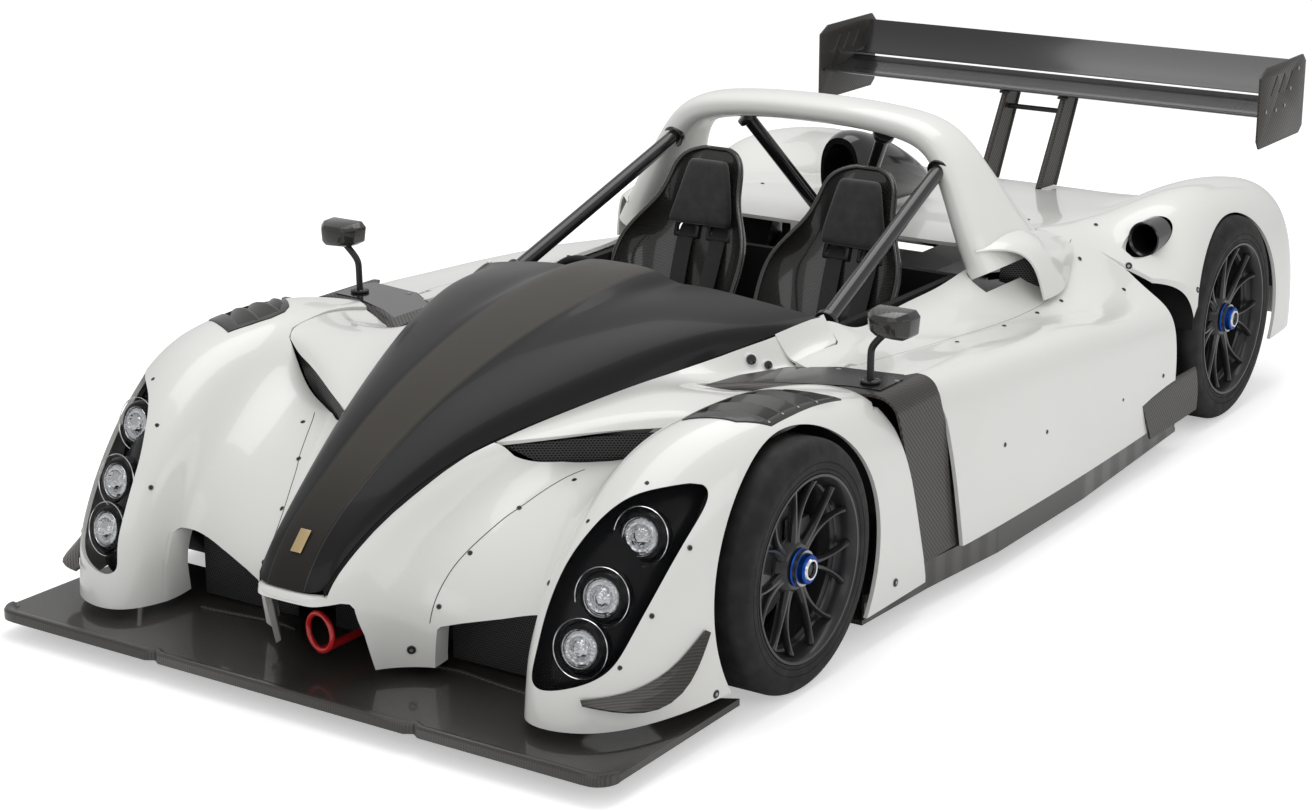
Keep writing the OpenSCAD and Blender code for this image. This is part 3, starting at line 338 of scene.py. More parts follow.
class Number:
    """A socket of numbers that Python's own operators work on"""

    def __init__(self, finish, socket):
        self.finish, self.socket = finish, socket

    def maths(self, operation, *values):
        node = self.finish.node("ShaderNodeMath", {"operation": operation},
                                dict(enumerate(values)))
        return Number(self.finish, node.outputs[0])

    def __add__(self, other):
        return self.maths("ADD", self, other)

    def __sub__(self, other):
        return self.maths("SUBTRACT", self, other)

    def __mul__(self, other):
        return self.maths("MULTIPLY", self, other)

    def __truediv__(self, other):
        return self.maths("DIVIDE", self, other)

    def __rsub__(self, other):
        return self.maths("SUBTRACT", other, self)

    __radd__, __rmul__ = __add__, __mul__

    def floor(self):
        return self.maths("FLOOR", self)

    def fraction(self):
        return self.maths("FRACT", self)

    def size(self):
        return self.maths("ABSOLUTE", self)

    def sine(self):
        return self.maths("SINE", self)

    def remainder(self, other):
        return self.maths("FLOORED_MODULO", self, other)

    def above(self, other):
        return self.maths("GREATER_THAN", self, other)

    def below(self, other):
        return self.maths("LESS_THAN", self, other)

    def between(self, low, high):
        """0 at low and under, 1 at high and over"""
        node = self.finish.node("ShaderNodeMapRange", {"clamp": True},
                                {0: self, 1: low, 2: high, 3: 0.0, 4: 1.0})
        return Number(self.finish, node.outputs[0])


class Finish:
    """A material's nodes"""

    def __init__(self, name, color=(0.5, 0.5, 0.5), rough=0.5, metal=0.0, coat=0.0,
                 coat_rough=0.03, **more):
        self.material = bpy.data.materials.new(name)
        self.material.use_nodes = True
        self.tree = self.material.node_tree
        self.shader = self.tree.nodes["Principled BSDF"]
        self.put(self.shader, "Base Color", (*color, 1))
        self.put(self.shader, "Roughness", rough)
        self.put(self.shader, "Metallic", metal)
        self.put(self.shader, "Coat Weight", coat)
        self.put(self.shader, "Coat Roughness", coat_rough)
        for key, value in more.items():
            self.put(self.shader, key.replace("_", " ").title().replace("Ior", "IOR"), value)
        self.material.diffuse_color = (*color, 1)

    def put(self, node, key, value):
        socket = node.inputs[key]
        if isinstance(value, Number):
            value = value.socket
        if isinstance(value, bpy.types.NodeSocket):
            self.tree.links.new(value, socket)
        else:
            socket.default_value = value

    def node(self, kind, settings=(), inputs=()):
        node = self.tree.nodes.new(kind)
        for key, value in dict(settings).items():
            setattr(node, key, value)
        for key, value in dict(inputs).items():
            self.put(node, key, value)
        return node

    def coordinates(self):
        """The piece's own X, Y and Z"""
        if not hasattr(self, "_axes"):
            self.position = self.node("ShaderNodeTexCoord").outputs["Object"]
            parts = self.node("ShaderNodeSeparateXYZ", (), {0: self.position})
            self._axes = [Number(self, out) for out in parts.outputs]
        return self._axes

    def noise(self, scale, detail=2.0, stretch=None):
        self.coordinates()
        vector = self.position
        if stretch:
            vector = self.node("ShaderNodeVectorMath", {"operation": "MULTIPLY"},
                               {0: vector, 1: stretch}).outputs[0]
        node = self.node("ShaderNodeTexNoise", (),
                         {"Vector": vector, "Scale": scale, "Detail": detail})
        return Number(self, node.outputs["Fac"])

    def blend(self, factor, first, second):
        """A colour between two colours"""
        node = self.node("ShaderNodeMix", {"data_type": "RGBA"}, {"Factor": factor})
        for key, value in ((6, first), (7, second)):
            self.put(node, key, value if isinstance(value, bpy.types.NodeSocket) else (*value, 1))
        return node.outputs[2]

    def color(self, value):
        self.put(self.shader, "Base Color", value)

    def rough(self, value):
        self.put(self.shader, "Roughness", value)

    def relief(self, height, depth, strength=1.0):
        node = self.node("ShaderNodeBump", (), {
            "Height": height, "Distance": depth, "Strength": strength})
        self.put(self.shader, "Normal", node.outputs[0])


def white_paint(props):
    paint = Finish("white_paint", props.paint_color, 0.32, coat=0.7, coat_rough=0.04)
    haze = paint.noise(3.0, 3)
    paint.color(paint.blend(haze.between(0.35, 0.75), tuple(props.paint_color),
                            tuple(c * 0.97 for c in props.paint_color)))
    paint.rough(0.28 + 0.1 * paint.noise(14.0, 2))
    paint.relief(paint.noise(420.0, 1), 0.00002, 0.3)
    return paint.material


def twill(name, dark, light, rough, coat, pitch, plane):
    """Carbon cloth in a two by two twill, with painted sheen on the tows that lie on top and painted
    shade across each tow; plane picks the two ways that its threads run
    """
    cloth = Finish(name, dark, rough, coat=coat, coat_rough=0.06, specular_ior_level=0.3)
    x, y, z = cloth.coordinates()
    u, v = {"flat": (x, y), "side": (y, z - x.size()), "front": (x.size() - z, y - z)}[plane]
    if plane == "flat":
        u, v = x + y, x - y
    u, v = u / pitch, v / pitch
    turn = (u.floor() + v.floor()).remainder(4.0).below(1.5)
    ridge_u = (u.fraction() * math.pi).sine()
    ridge_v = (v.fraction() * math.pi).sine()
    ridge = turn * ridge_u + (1 - turn) * ridge_v
    fibre = cloth.noise(900.0, 1)
    # painted light: tows on top are painted lighter as painted sheen, and each tow's middle lighter
    # than its sides as painted shade; the fibre noise is random grain
    painted_tow_sheen_and_grain = (0.35 + 0.65 * turn) * (0.55 + 0.45 * ridge) * (0.75 + 0.5 * fibre)
    cloth.color(cloth.blend(painted_tow_sheen_and_grain, dark, light))
    cloth.rough(rough + 0.15 * (1 - turn))
    cloth.relief(ridge, 0.0002, 0.5)
    return cloth.material


def satin_black(name, color, rough, grain=1.0, coat=0.0):
    paint = Finish(name, color, rough, coat=coat, coat_rough=0.1, specular_ior_level=0.3)
    paint.rough(rough - 0.05 + 0.12 * paint.noise(9.0, 3))
    paint.relief(paint.noise(700.0, 1), 0.00004 * grain, 0.5)
    return paint.material


def bonnet_paint(props):
    """Satin black with the bronze stripe down its middle and a thin line by each edge"""
    paint = Finish("bonnet_paint", (0.01, 0.01, 0.0105), 0.34, coat=0.1, coat_rough=0.08,
                   specular_ior_level=0.14)
    x, y, _ = paint.coordinates()
    along = y - FRONT_AXLE
    half = 0.0475 + 0.0475 * along.between(-0.55, 0.30) + 0.004 * along.between(-0.71, -0.55)
    off = x.size()
    stripe = 1 - (off - half).between(-0.0006, 0.0006)
    line = (off - half - 0.0035).size()
    edge = 1 - (line - 0.0012).between(-0.0004, 0.0004)
    black = paint.blend(edge, (0.01, 0.01, 0.0105), (0.045, 0.043, 0.04))
    fleck = paint.noise(1500.0, 1)
    bronze = paint.blend(fleck.between(0.4, 0.65), (0.040, 0.036, 0.030), (0.060, 0.054, 0.045))
    # the stripe fades into black at the nose
    bronze = paint.blend(along.between(-0.72, -0.42), (0.014, 0.013, 0.012), bronze)
    paint.color(paint.blend(stripe, black, bronze))
    paint.rough(0.33 + 0.06 * paint.noise(6.0, 3) + 0.04 * stripe)
    paint.relief(paint.noise(650.0, 1), 0.00003, 0.4)
    return paint.material


def rubber(name):
    tyre = Finish(name, (0.018, 0.018, 0.019), 0.62, specular_ior_level=0.25)
    dust = tyre.noise(22.0, 4)
    tyre.color(tyre.blend(dust.between(0.4, 0.8), (0.010, 0.010, 0.011), (0.024, 0.023, 0.022)))
    tyre.rough(0.5 + 0.25 * tyre.noise(35.0, 3))
    tyre.relief(tyre.noise(500.0, 2), 0.0001, 0.4)
    return tyre.material


def metal(name, color, rough, brushed=60.0):
    steel = Finish(name, color, rough, 1.0)
    grain = steel.noise(brushed, 3, (1, 1, 12))
    steel.rough(rough - 0.06 + 0.16 * grain)
    steel.relief(grain, 0.00005, 0.2)
    return steel.material


def mesh_cloth(name, pitch, plane="front"):
    """A black honeycomb grille whose holes between its wires are not cut but painted near black as
    painted shade
    """
    net = Finish(name, (0.015, 0.015, 0.016), 0.4)
    x, y, z = net.coordinates()
    u = x / pitch
    v = (z if plane == "front" else y) / (pitch * 0.866)
    row = v.floor()
    shift = (row.remainder(2.0)) * 0.5
    a = (u + shift).fraction() - 0.5
    b = v.fraction() - 0.5
    hole = (a * a + b * b).below(0.14)
    # painted shade: the holes are painted near black for the dark seen through an open grille
    net.color(net.blend(hole, (0.035, 0.035, 0.036), (0.001, 0.001, 0.001)))
    net.rough(0.35 + 0.6 * hole)
    net.relief(1 - hole, 0.002, 1.0)
    return net.material


# ---------------------------------------------------------------- the body's tables

FRONT_ROWS = [
    [0, 0, [[0, 665], [60, 660], [108, 640], [152, 570], [217, 517], [300, 490], [420, 475],
            [505, 480], [530, 560], [572, 628], [650, 640], [745, 590], [815, 450], [852, 240],
            [862, 0]]],
    [9, 0, [[0, 712], [58, 708], [98, 690], [150, 600], [215, 530], [300, 507], [420, 490],
            [505, 497], [533, 565], [574, 625], [655, 636], [748, 585], [818, 450], [853, 240],
            [863, 0]]],
    [16, 0, [[0, 736], [56, 734], [92, 718], [150, 615], [220, 532], [305, 505], [420, 488],
            [506, 500], [535, 565], [577, 621], [659, 631], [751, 580], [820, 450], [854, 240],
            [864, 0]]],
    [27, 0, [[0, 640], [60, 645], [110, 649], [160, 560], [230, 497], [312, 477], [425, 472],
            [510, 495], [542, 560], [583, 609], [664, 618], [757, 566], [824, 445], [856, 240],
            [866, 0]]],
    [40, 0, [[0, 560], [80, 566], [145, 577], [190, 500], [250, 457], [325, 445], [432, 450],
            [515, 485], [552, 550], [598, 590], [675, 600], [765, 555], [830, 440], [860, 240],
            [868, 0]]],
    [54, 0, [[0, 510], [110, 518], [185, 526], [225, 470], [280, 432], [345, 422], [442, 432],
            [522, 475], [566, 545], [618, 580], [692, 587], [775, 550], [838, 440], [864, 240],
            [870, 0]]],
    [70, 0, [[0, 470], [140, 478], [240, 486], [280, 450], [325, 420], [380, 408], [460, 418],
            [535, 465], [583, 535], [640, 566], [708, 573], [788, 540], [845, 432], [867, 240],
            [872, 0]]],
    [90, 0, [[0, 470], [200, 478], [305, 486], [345, 455], [385, 420], [430, 400], [492, 410],
            [552, 458], [602, 516], [655, 542], [722, 549], [800, 520], [852, 420], [870, 240],
            [874, 0]]],
    [90, 130, [[0, 485], [230, 492], [350, 504], [390, 465], [425, 425], [462, 405], [512, 415],
            [560, 458], [607, 512], [660, 538], [725, 545], [803, 518], [855, 418], [872, 240],
            [875, 0]]],
    [90, 270, [[0, 495], [260, 505], [391, 518], [425, 475], [450, 430], [485, 405], [525, 415],
            [565, 450], [612, 495], [665, 516], [730, 521], [806, 497], [858, 400], [873, 235],
            [876, 0]]],
    [90, 410, [[0, 510], [290, 520], [430, 532], [450, 475], [472, 430], [500, 405], [540, 410],
            [575, 435], [620, 468], [672, 484], [735, 484], [808, 460], [860, 372], [873, 220],
            [876, 0]]],
    [90, 560, [[0, 520], [320, 535], [468, 547], [480, 490], [496, 430], [520, 400], [552, 400],
            [588, 410], [630, 425], [680, 432], [740, 432], [812, 412], [860, 335], [872, 200],
            [875, 0]]]
]
BONNET_EDGE = [
    [92, -690, 298], [98, -650, 329], [107, -600, 368], [117, -550, 398], [129, -500, 428],
    [143, -450, 453], [166, -370, 489], [188, -300, 514], [228, -196, 538], [286, -50, 561],
    [318, 37, 577], [371, 200, 597], [416, 360, 612], [455, 506, 627], [500, 682, 643]
]
VANE_EDGE = [[397, 900], [397, 567], [435, 487], [480, 354], [540, 152], [552, 100], [552, 0]]
VANE_PLAN = [[446, 215], [530, 290], [700, 398], [800, 405], [950, 200], [950, 760], [870, 760],
    [790, 580], [632, 552], [530, 478], [474, 360]]
REAR_EDGE = [[611, 900], [611, 538], [646, 457], [695, 245], [730, 108], [732, 0]]
BROW_ROWS = [
    [[213, -238, 522], [300, -182, 532], [400, -112, 545], [480, -58, 552], [540, -22, 558],
     [586, 2, 582]],
    [[247, -150, 543], [330, -110, 562], [420, -60, 575], [500, -20, 582], [556, 10, 588],
     [602, 34, 599]],
    [[305, 0, 571], [380, 25, 588], [450, 55, 596], [520, 80, 598], [568, 98, 600], [613, 116, 603]],
    [[350, 130, 589], [405, 140, 594], [470, 155, 594], [535, 170, 593], [580, 184, 594],
     [624, 198, 598]],
    [[388, 260, 601], [425, 262, 584], [470, 268, 566], [530, 280, 560], [590, 290, 568],
     [636, 300, 580]],
    [[428, 400, 614], [448, 400, 584], [474, 402, 562], [530, 405, 556], [590, 410, 554],
     [640, 415, 556]],
    [[463, 540, 630], [485, 540, 596], [510, 540, 562], [555, 540, 552], [600, 540, 548],
     [640, 540, 546]]
]
BONNET_ROWS = [
    [[0, -711, 284], [30, -710, 283], [46, -708, 283], [60, -705, 284], [72, -701, 286],
     [82, -695, 289], [90, -687, 295]],
    [[0, -690, 322], [31, -690, 321], [47, -689, 318], [61, -687, 314], [74, -684, 310],
     [85, -679, 307], [94, -672, 308]],
    [[0, -651, 368], [32, -651, 367], [48, -651, 364], [62, -651, 360], [76, -651, 354],
     [89, -651, 345], [98, -651, 328]],
    [[0, -600, 412], [34, -600, 411], [52, -600, 408], [68, -600, 403], [83, -600, 395],
     [97, -600, 385], [107, -600, 367]],
    [[0, -510, 471], [40, -510, 470], [60, -510, 467], [79, -510, 461], [99, -510, 453],
     [115, -510, 442], [127, -510, 423]],
    [[0, -370, 548], [50, -370, 546], [78, -370, 542], [104, -370, 535], [130, -370, 524],
     [152, -370, 509], [166, -370, 488]],
    [[0, -196, 620], [66, -196, 618], [104, -196, 611], [141, -196, 602], [178, -196, 587],
     [208, -196, 566], [228, -196, 537]],
    [[0, 37, 684], [86, 37, 681], [130, 37, 675], [186, 37, 664], [245, 37, 645], [291, 37, 616],
     [318, 37, 576]],
    [[0, 200, 714], [95, 200, 711], [130, 200, 700], [200, 200, 694], [290, 200, 674],
     [346, 200, 640], [371, 200, 596]],
    [[0, 360, 735], [100, 360, 732], [140, 360, 711], [209, 360, 708], [322, 360, 690],
     [392, 360, 657], [416, 360, 611]],
    [[0, 480, 741], [102, 480, 738], [148, 485, 706], [215, 490, 705], [350, 500, 684],
     [428, 506, 656], [455, 506, 626]],
    [[0, 560, 738], [103, 562, 733], [152, 585, 700], [222, 600, 699], [362, 630, 676],
     [452, 662, 656], [500, 682, 642]]
]
SIDE_ROWS = [
    [[520, 560, 600], [560, 560, 575], [650, 560, 566], [740, 560, 566], [805, 560, 560],
     [846, 560, 528], [864, 560, 440], [870, 560, 280], [866, 560, 90]],
    [[500, 700, 640], [555, 700, 580], [650, 700, 560], [740, 700, 558], [812, 700, 553],
     [852, 700, 520], [871, 700, 430], [880, 700, 280], [876, 700, 90]],
    [[518, 830, 580], [570, 830, 560], [652, 830, 548], [742, 830, 549], [815, 830, 544],
     [856, 830, 510], [878, 830, 420], [886, 830, 280], [882, 830, 90]],
    [[500, 1050, 587], [565, 1050, 560], [655, 1050, 530], [745, 1050, 534], [818, 1050, 531],
     [860, 1050, 500], [882, 1050, 410], [889, 1050, 270], [886, 1050, 90]],
    [[500, 1270, 588], [568, 1270, 560], [658, 1270, 513], [748, 1270, 516], [818, 1270, 514],
     [862, 1270, 485], [884, 1270, 400], [890, 1270, 260], [886, 1270, 90]],
    [[505, 1420, 608], [572, 1430, 575], [660, 1440, 508], [748, 1450, 503], [818, 1450, 500],
     [862, 1450, 470], [884, 1450, 390], [889, 1450, 255], [884, 1450, 90]],
    [[525, 1640, 640], [590, 1650, 600], [668, 1660, 520], [752, 1670, 487], [820, 1680, 470],
     [862, 1690, 438], [880, 1700, 370], [884, 1700, 245], [878, 1700, 90]],
    [[545, 1860, 640], [600, 1870, 600], [676, 1880, 535], [758, 1890, 480], [822, 1900, 446],
     [858, 1910, 405], [873, 1920, 340], [877, 1920, 235], [870, 1920, 90]],
    [[560, 2060, 640], [612, 2070, 605], [690, 2080, 545], [766, 2100, 484], [826, 2120, 436],
     [855, 2130, 392], [868, 2140, 330], [871, 2140, 230], [864, 2140, 90]]
]
SEAM_IN = [[640, 500], [652, 660], [660, 870], [664, 1100], [668, 1330], [674, 1540], [668, 1640],
    [640, 1720], [600, 1860], [590, 1900]]
SEAM_REAR = [[590, 1900], [650, 1970], [775, 2035], [865, 2180], [900, 2230]]
REAR_ROWS = [
    [[0, 1560, 640], [150, 1560, 640], [300, 1560, 640], [430, 1560, 642], [500, 1560, 650],
     [560, 1600, 620], [640, 1640, 545], [740, 1660, 490], [830, 1690, 455], [878, 1700, 370],
     [884, 1700, 245], [878, 1700, 90]],
    [[0, 1760, 640], [150, 1760, 640], [300, 1760, 640], [430, 1760, 642], [510, 1760, 648],
     [575, 1770, 620], [650, 1790, 552], [745, 1800, 492], [826, 1810, 450], [872, 1820, 360],
     [880, 1820, 240], [872, 1820, 90]],
    [[0, 1930, 634], [150, 1930, 634], [300, 1930, 634], [430, 1930, 636], [520, 1930, 634],
     [590, 1940, 606], [665, 1950, 548], [755, 1960, 486], [826, 1980, 440], [868, 1990, 350],
     [875, 1990, 240], [868, 1990, 90]],
    [[0, 2080, 624], [150, 2080, 624], [300, 2080, 624], [430, 2080, 624], [520, 2080, 622],
     [590, 2085, 616], [670, 2095, 596], [755, 2105, 545], [824, 2115, 470], [860, 2120, 370],
     [871, 2120, 240], [862, 2120, 90]],
    [[0, 2230, 606], [150, 2230, 606], [300, 2230, 606], [430, 2230, 608], [520, 2230, 620],
     [600, 2230, 648], [680, 2230, 664], [760, 2230, 640], [824, 2230, 560], [858, 2230, 430],
     [870, 2230, 240], [862, 2230, 90]],
    [[0, 2400, 585], [150, 2400, 585], [300, 2400, 585], [430, 2400, 592], [520, 2400, 615],
     [600, 2400, 658], [690, 2400, 682], [768, 2400, 662], [828, 2400, 580], [860, 2400, 440],
     [870, 2400, 240], [862, 2400, 90]],
    [[0, 2600, 560], [150, 2600, 560], [300, 2600, 560], [430, 2600, 570], [520, 2600, 600],
     [600, 2600, 645], [690, 2600, 670], [768, 2600, 650], [828, 2600, 572], [860, 2600, 435],
     [870, 2600, 240], [862, 2600, 90]],
    [[0, 2780, 535], [150, 2780, 535], [300, 2780, 535], [430, 2780, 548], [520, 2780, 580],
     [600, 2780, 620], [690, 2780, 640], [768, 2780, 618], [826, 2780, 545], [856, 2780, 420],
     [866, 2780, 240], [858, 2780, 90]],
    [[0, 2900, 520], [150, 2900, 520], [300, 2900, 520], [430, 2900, 532], [520, 2900, 560],
     [600, 2900, 590], [690, 2900, 605], [764, 2900, 586], [818, 2900, 520], [846, 2900, 405],
     [856, 2900, 240], [848, 2900, 90]],
    [[0, 2960, 480], [150, 2960, 480], [300, 2960, 480], [430, 2960, 485], [520, 2960, 500],
     [600, 2960, 518], [690, 2960, 528], [756, 2960, 515], [804, 2960, 465], [828, 2960, 375],
     [836, 2960, 240], [830, 2960, 90]]
]
HOOP_PATH = [
    [556, 1590, 600, 62, 190], [516, 1565, 680, 56, 165], [474, 1540, 770, 50, 130],
    [424, 1520, 870, 44, 96], [358, 1510, 938, 40, 82], [245, 1508, 964, 36, 78],
    [120, 1508, 974, 35, 76], [0, 1508, 976, 35, 76]
]
SCOOP_ROWS = [
    [[548, 1400, 668], [588, 1440, 672], [634, 1497, 656], [666, 1528, 606], [684, 1545, 526]],
    [[548, 1470, 690], [590, 1510, 690], [640, 1556, 664], [668, 1590, 604], [686, 1612, 527]],
    [[548, 1560, 696], [588, 1600, 688], [636, 1636, 652], [662, 1664, 592], [677, 1686, 534]],
    [[548, 1680, 680], [580, 1702, 668], [616, 1728, 636], [640, 1750, 594], [651, 1766, 561]],
    [[556, 1800, 650], [576, 1812, 640], [598, 1824, 630], [613, 1836, 615], [624, 1846, 600]]
]
SEAT_ROWS = [
    [700, 190, 190, 40], [800, 165, 200, 90], [960, 150, 205, 120], [1090, 170, 205, 150],
    [1180, 260, 200, 170], [1230, 380, 195, 150], [1270, 500, 200, 130], [1305, 610, 195, 100],
    [1335, 700, 130, 60], [1362, 780, 100, 45], [1378, 838, 82, 30]
]


FAN_Z = 85


def front_body(m, n):
    rows = []
    for lift, behind, across in FRONT_ROWS:
        a = math.radians(lift)
        rows.append([(x, behind - r * math.cos(a), FAN_Z + r * math.sin(a)) for x, r in across])
    return car(surface(whole(rows), m, n))


def grown(outline, by):
    """A closed outline with its edges moved outwards"""
    points = np.asarray(outline, float)
    ahead, back = np.roll(points, -1, 0), np.roll(points, 1, 0)
    way = ahead - back
    way /= np.linalg.norm(way, axis=1)[:, None]
    return points + by * np.stack([way[:, 1], -way[:, 0]], 1)


def lamp_matrix():
    return (Matrix.Translation((0.700, -0.470 + FRONT_AXLE, 0.352))
            @ Matrix.Rotation(math.radians(34), 4, "Z")
            @ Matrix.Rotation(math.radians(66), 4, "X"))


def loop(points, steps):
    """A smooth closed outline through points, with so many steps to each of them"""
    ring = list(points[-3:]) + list(points) + list(points[:4])
    curve = smooth(ring, steps * (len(ring) - 1))
    return curve[3 * steps:-4 * steps] if len(curve) else curve


# Outline of a headlight seen along its own axis
LAMP_SHAPE = [
    (172, 217), (184, 204), (182, 181), (165, 146), (140, 104), (106, 45), (72, -17), (38, -78),
    (14, -122), (-8, -156), (-33, -179), (-67, -196), (-108, -206), (-142, -209), (-167, -204),
    (-179, -187), (-178, -162), (-168, -120), (-156, -70), (-141, -22), (-120, 29), (-95, 74),
    (-64, 115), (-30, 152), (11, 183), (55, 201), (107, 212), (148, 219)]
# Outline in plan of a fender's louvre panel, and the ends of its slats from front to rear
LOUVRE_SHAPE = [
    (645, -152), (689, -136), (753, -104), (797, -33), (798, 60), (797, 160), (796, 272),
    (786, 256), (762, 198), (728, 148), (696, 124), (668, 96), (650, 58), (642, 0), (641, -80)]
SLATS = [((652, -112), (785, -34)), ((650, -38), (784, 24)), ((658, 46), (785, 88)),
         ((690, 100), (787, 164)), ((728, 142), (787, 240))]


def lamp_prism(grow, low=-90, high=128):
    outline = grown(loop(LAMP_SHAPE, 4), grow) * MM
    return prism("lamp_cut", outline, (low * MM, high * MM), lamp_matrix())


def louvre_prism(grow, low=500, high=800):
    return upright("louvre_cut", grown(LOUVRE_SHAPE, grow), (low, high))


def vane_place(gap, low=562):
    """The room that a side vane's flat top takes"""
    return upright("vane_room", grown(VANE_PLAN, gap), (low, 862))


def bonnet_hole(gap, low=270, high=870):
    right = [(p[0] + gap, p[1]) for p in BONNET_EDGE]
    outline = [(60, -900), (84, -712)] + right
    outline += [(-x, y) for x, y in reversed(outline)]
    return upright("bonnet_cut", outline, (low, high))


def behind(edge, gap=0):
    outline = [(y - gap, z) for y, z in edge] + [(2000, 0), (2000, 900)]
    return profile("edge_cut", outline, (-1000, 1000))


def wheel_cut(x0, y, z, radius, steps=160):
    """A round cut for a wheel arch, from a place beside the car's middle outwards"""
    deselect()
    bpy.ops.mesh.primitive_cylinder_add(
        vertices=steps, radius=radius * MM, depth=(900 - x0) * MM,
        location=((900 + x0) / 2 * MM, y * MM + FRONT_AXLE, z * MM),
        rotation=(0, math.pi / 2, 0))
    return both(settle(called("arch_cut")))


def hoop_rings(count, gap=0.0, sides=16, rows=None):
    """Rings round the roll hoop's fairing, from its foot up to the middle"""
    path = smooth(HOOP_PATH, count)
    rings = []
    for i, p in enumerate(path if rows is None else path[:rows]):
        d = path[i + 1] - path[max(i - 1, 0)] if i < len(path) - 1 else np.array([-1.0, 0, 0])
        across = np.array([d[2], 0, -d[0]]) / math.hypot(d[0], d[2])
        ring = []
        for k in range(sides):
            u, v = math.cos(2 * math.pi * k / sides), math.sin(2 * math.pi * k / sides)
            u = math.copysign(abs(u) ** 0.8, u)
            v = math.copysign(abs(v) ** 0.8, v)
            ring.append(p[:3] + across * ((p[3] + gap) * u) + np.array([0, (p[4] + gap) * v, 0]))
        rings.append(ring)
    return np.asarray(rings)


def hoop_foot(gap):
    rings = hoop_rings(14, gap, 48, 6)
    low = rings[0] + (10, 5, -45)
    return both(loft("hoop_cut", car(np.concatenate([[low], rings]))))


# ---------------------------------------------------------------- sizes and pieces


# White corners between the bonnet's rear and the cockpit sides
SCUTTLE_ROWS = [
    [(463, 534, 630), (480, 534, 606), (498, 534, 584), (518, 534, 572), (545, 534, 568)],
    [(474, 575, 636), (490, 575, 612), (508, 575, 591), (532, 575, 579), (560, 575, 574)],
    [(486, 620, 642), (500, 620, 618), (516, 620, 598), (538, 620, 586), (566, 620, 576)],
    [(497, 670, 646), (508, 670, 629), (521, 670, 608), (540, 670, 592), (562, 670, 580)],
    [(502, 706, 650), (510, 706, 636), (522, 706, 616), (538, 706, 598), (556, 706, 583)]]


class TrackCarSizes(bpy.types.PropertyGroup):
    panel: bpy.props.FloatProperty(
        name="Panel thickness", description="Wall of the moulded body panels",
        default=0.010, min=0.004, max=0.02, unit="LENGTH")
    weave: bpy.props.FloatProperty(
        name="Carbon weave", description="Width of one tow of the carbon cloth",
        default=0.0032, min=0.001, max=0.01, unit="LENGTH")
    paint_color: bpy.props.FloatVectorProperty(
        name="Body colour", description="Colour of the painted body panels",
        default=(0.74, 0.74, 0.715), subtype="COLOR", min=0, max=1)
    nut_color: bpy.props.FloatVectorProperty(
        name="Nut colour", description="Colour of the anodised wheel nuts",
        default=(0.012, 0.07, 0.36), subtype="COLOR", min=0, max=1)


def props():
    return bpy.context.scene.track_car


MADE = {}


def finish(name):
    """The material of a given name, made the first time it is asked for"""
    if name in MADE:
        return MADE[name]
    pitch = props().weave
    makers = {
        "white": lambda: white_paint(props()),
        "carbon": lambda: twill("carbon_lacquered", (0.012, 0.011, 0.010), (0.05, 0.046, 0.042),
                                0.3, 0.6, pitch, "flat"),
        "carbon_side": lambda: twill("carbon_side", (0.012, 0.011, 0.010), (0.055, 0.05, 0.045),
                                     0.42, 0.25, pitch, "side"),
        "carbon_seat": lambda: twill("carbon_seat", (0.006, 0.006, 0.006), (0.024, 0.022, 0.020),
                                     0.22, 0.8, pitch, "front"),
        "bonnet": lambda: bonnet_paint(props()),
        "black": lambda: satin_black("satin_black", (0.016, 0.016, 0.017), 0.38, coat=0.2),
        "gloss": lambda: satin_black("gloss_black", (0.012, 0.012, 0.013), 0.16, 0.3, coat=0.6),
        "matte": lambda: satin_black("matte_black", (0.012, 0.012, 0.012), 0.7, 2.0),
        "seam": lambda: Finish("seam_shadow", (0.03, 0.03, 0.03), 0.9).material,
        "rivet": lambda: metal("rivet_steel", (0.2, 0.2, 0.2), 0.4),
        "louvre": lambda: satin_black("louvre_black", (0.03, 0.03, 0.028), 0.36, coat=0.35),
        "rim": lambda: satin_black("rim_paint", (0.02, 0.02, 0.021), 0.3, 0.6, coat=0.3),
        "rubber": lambda: rubber("tyre_rubber"),
        "steel": lambda: metal("machined_steel", (0.42, 0.42, 0.43), 0.34),
        "chrome": lambda: metal("polished_ring", (0.75, 0.75, 0.76), 0.16),
        "nut": lambda: metal("anodised_blue", tuple(props().nut_color), 0.3, 30.0),
        "gold": lambda: metal("gold_plate", (0.62, 0.47, 0.26), 0.32, 40.0),
        "lamp_black": lambda: Finish("lamp_black", (0.006, 0.006, 0.007), 0.3, coat=0.1,
                                     specular_ior_level=0.14).material,
        "mesh": lambda: mesh_cloth("honeycomb_front", 0.0065, "front"),
        "mesh_flat": lambda: mesh_cloth("honeycomb_flat", 0.012, "flat"),
    }
    MADE[name] = makers[name]()
    return MADE[name]


def cad(node, material):
    """Gives a CAD node a finish of its own"""
    slots = frame["nodes"][node].data.materials
    slots.clear()
    slots.append(finish(material))


def fasteners(name, places, radius=0.0045, finish_name="black", rim=True):
    """Small round fastener heads: a place in millimetres and the way that each faces"""
    heads, rims = [], []
    for place, facing in places:
        centre = Vector(car(place))
        facing = Vector(facing).normalized()
        heads.append(disc("head", centre - facing * 0.002, facing, radius, 0.0038, 12))
        if rim:
            rims.append(disc("rim", centre - facing * 0.002, facing, radius + 0.0016, 0.0026, 20))
    if rims:
        done(both(join(name + "_rims", *rims)), finish("rivet"))
    return done(both(join(name, *heads)), finish(finish_name))


def seam(name, skin, line, radius=0.001):
    """A fine dark joint that follows a panel's face"""
    path = []
    for point in car(smooth(line, 16 * (len(line) - 1))):
        path.append(skin.closest_point_on_mesh(Vector(point))[1])
    return tube(name, path, radius, 6)


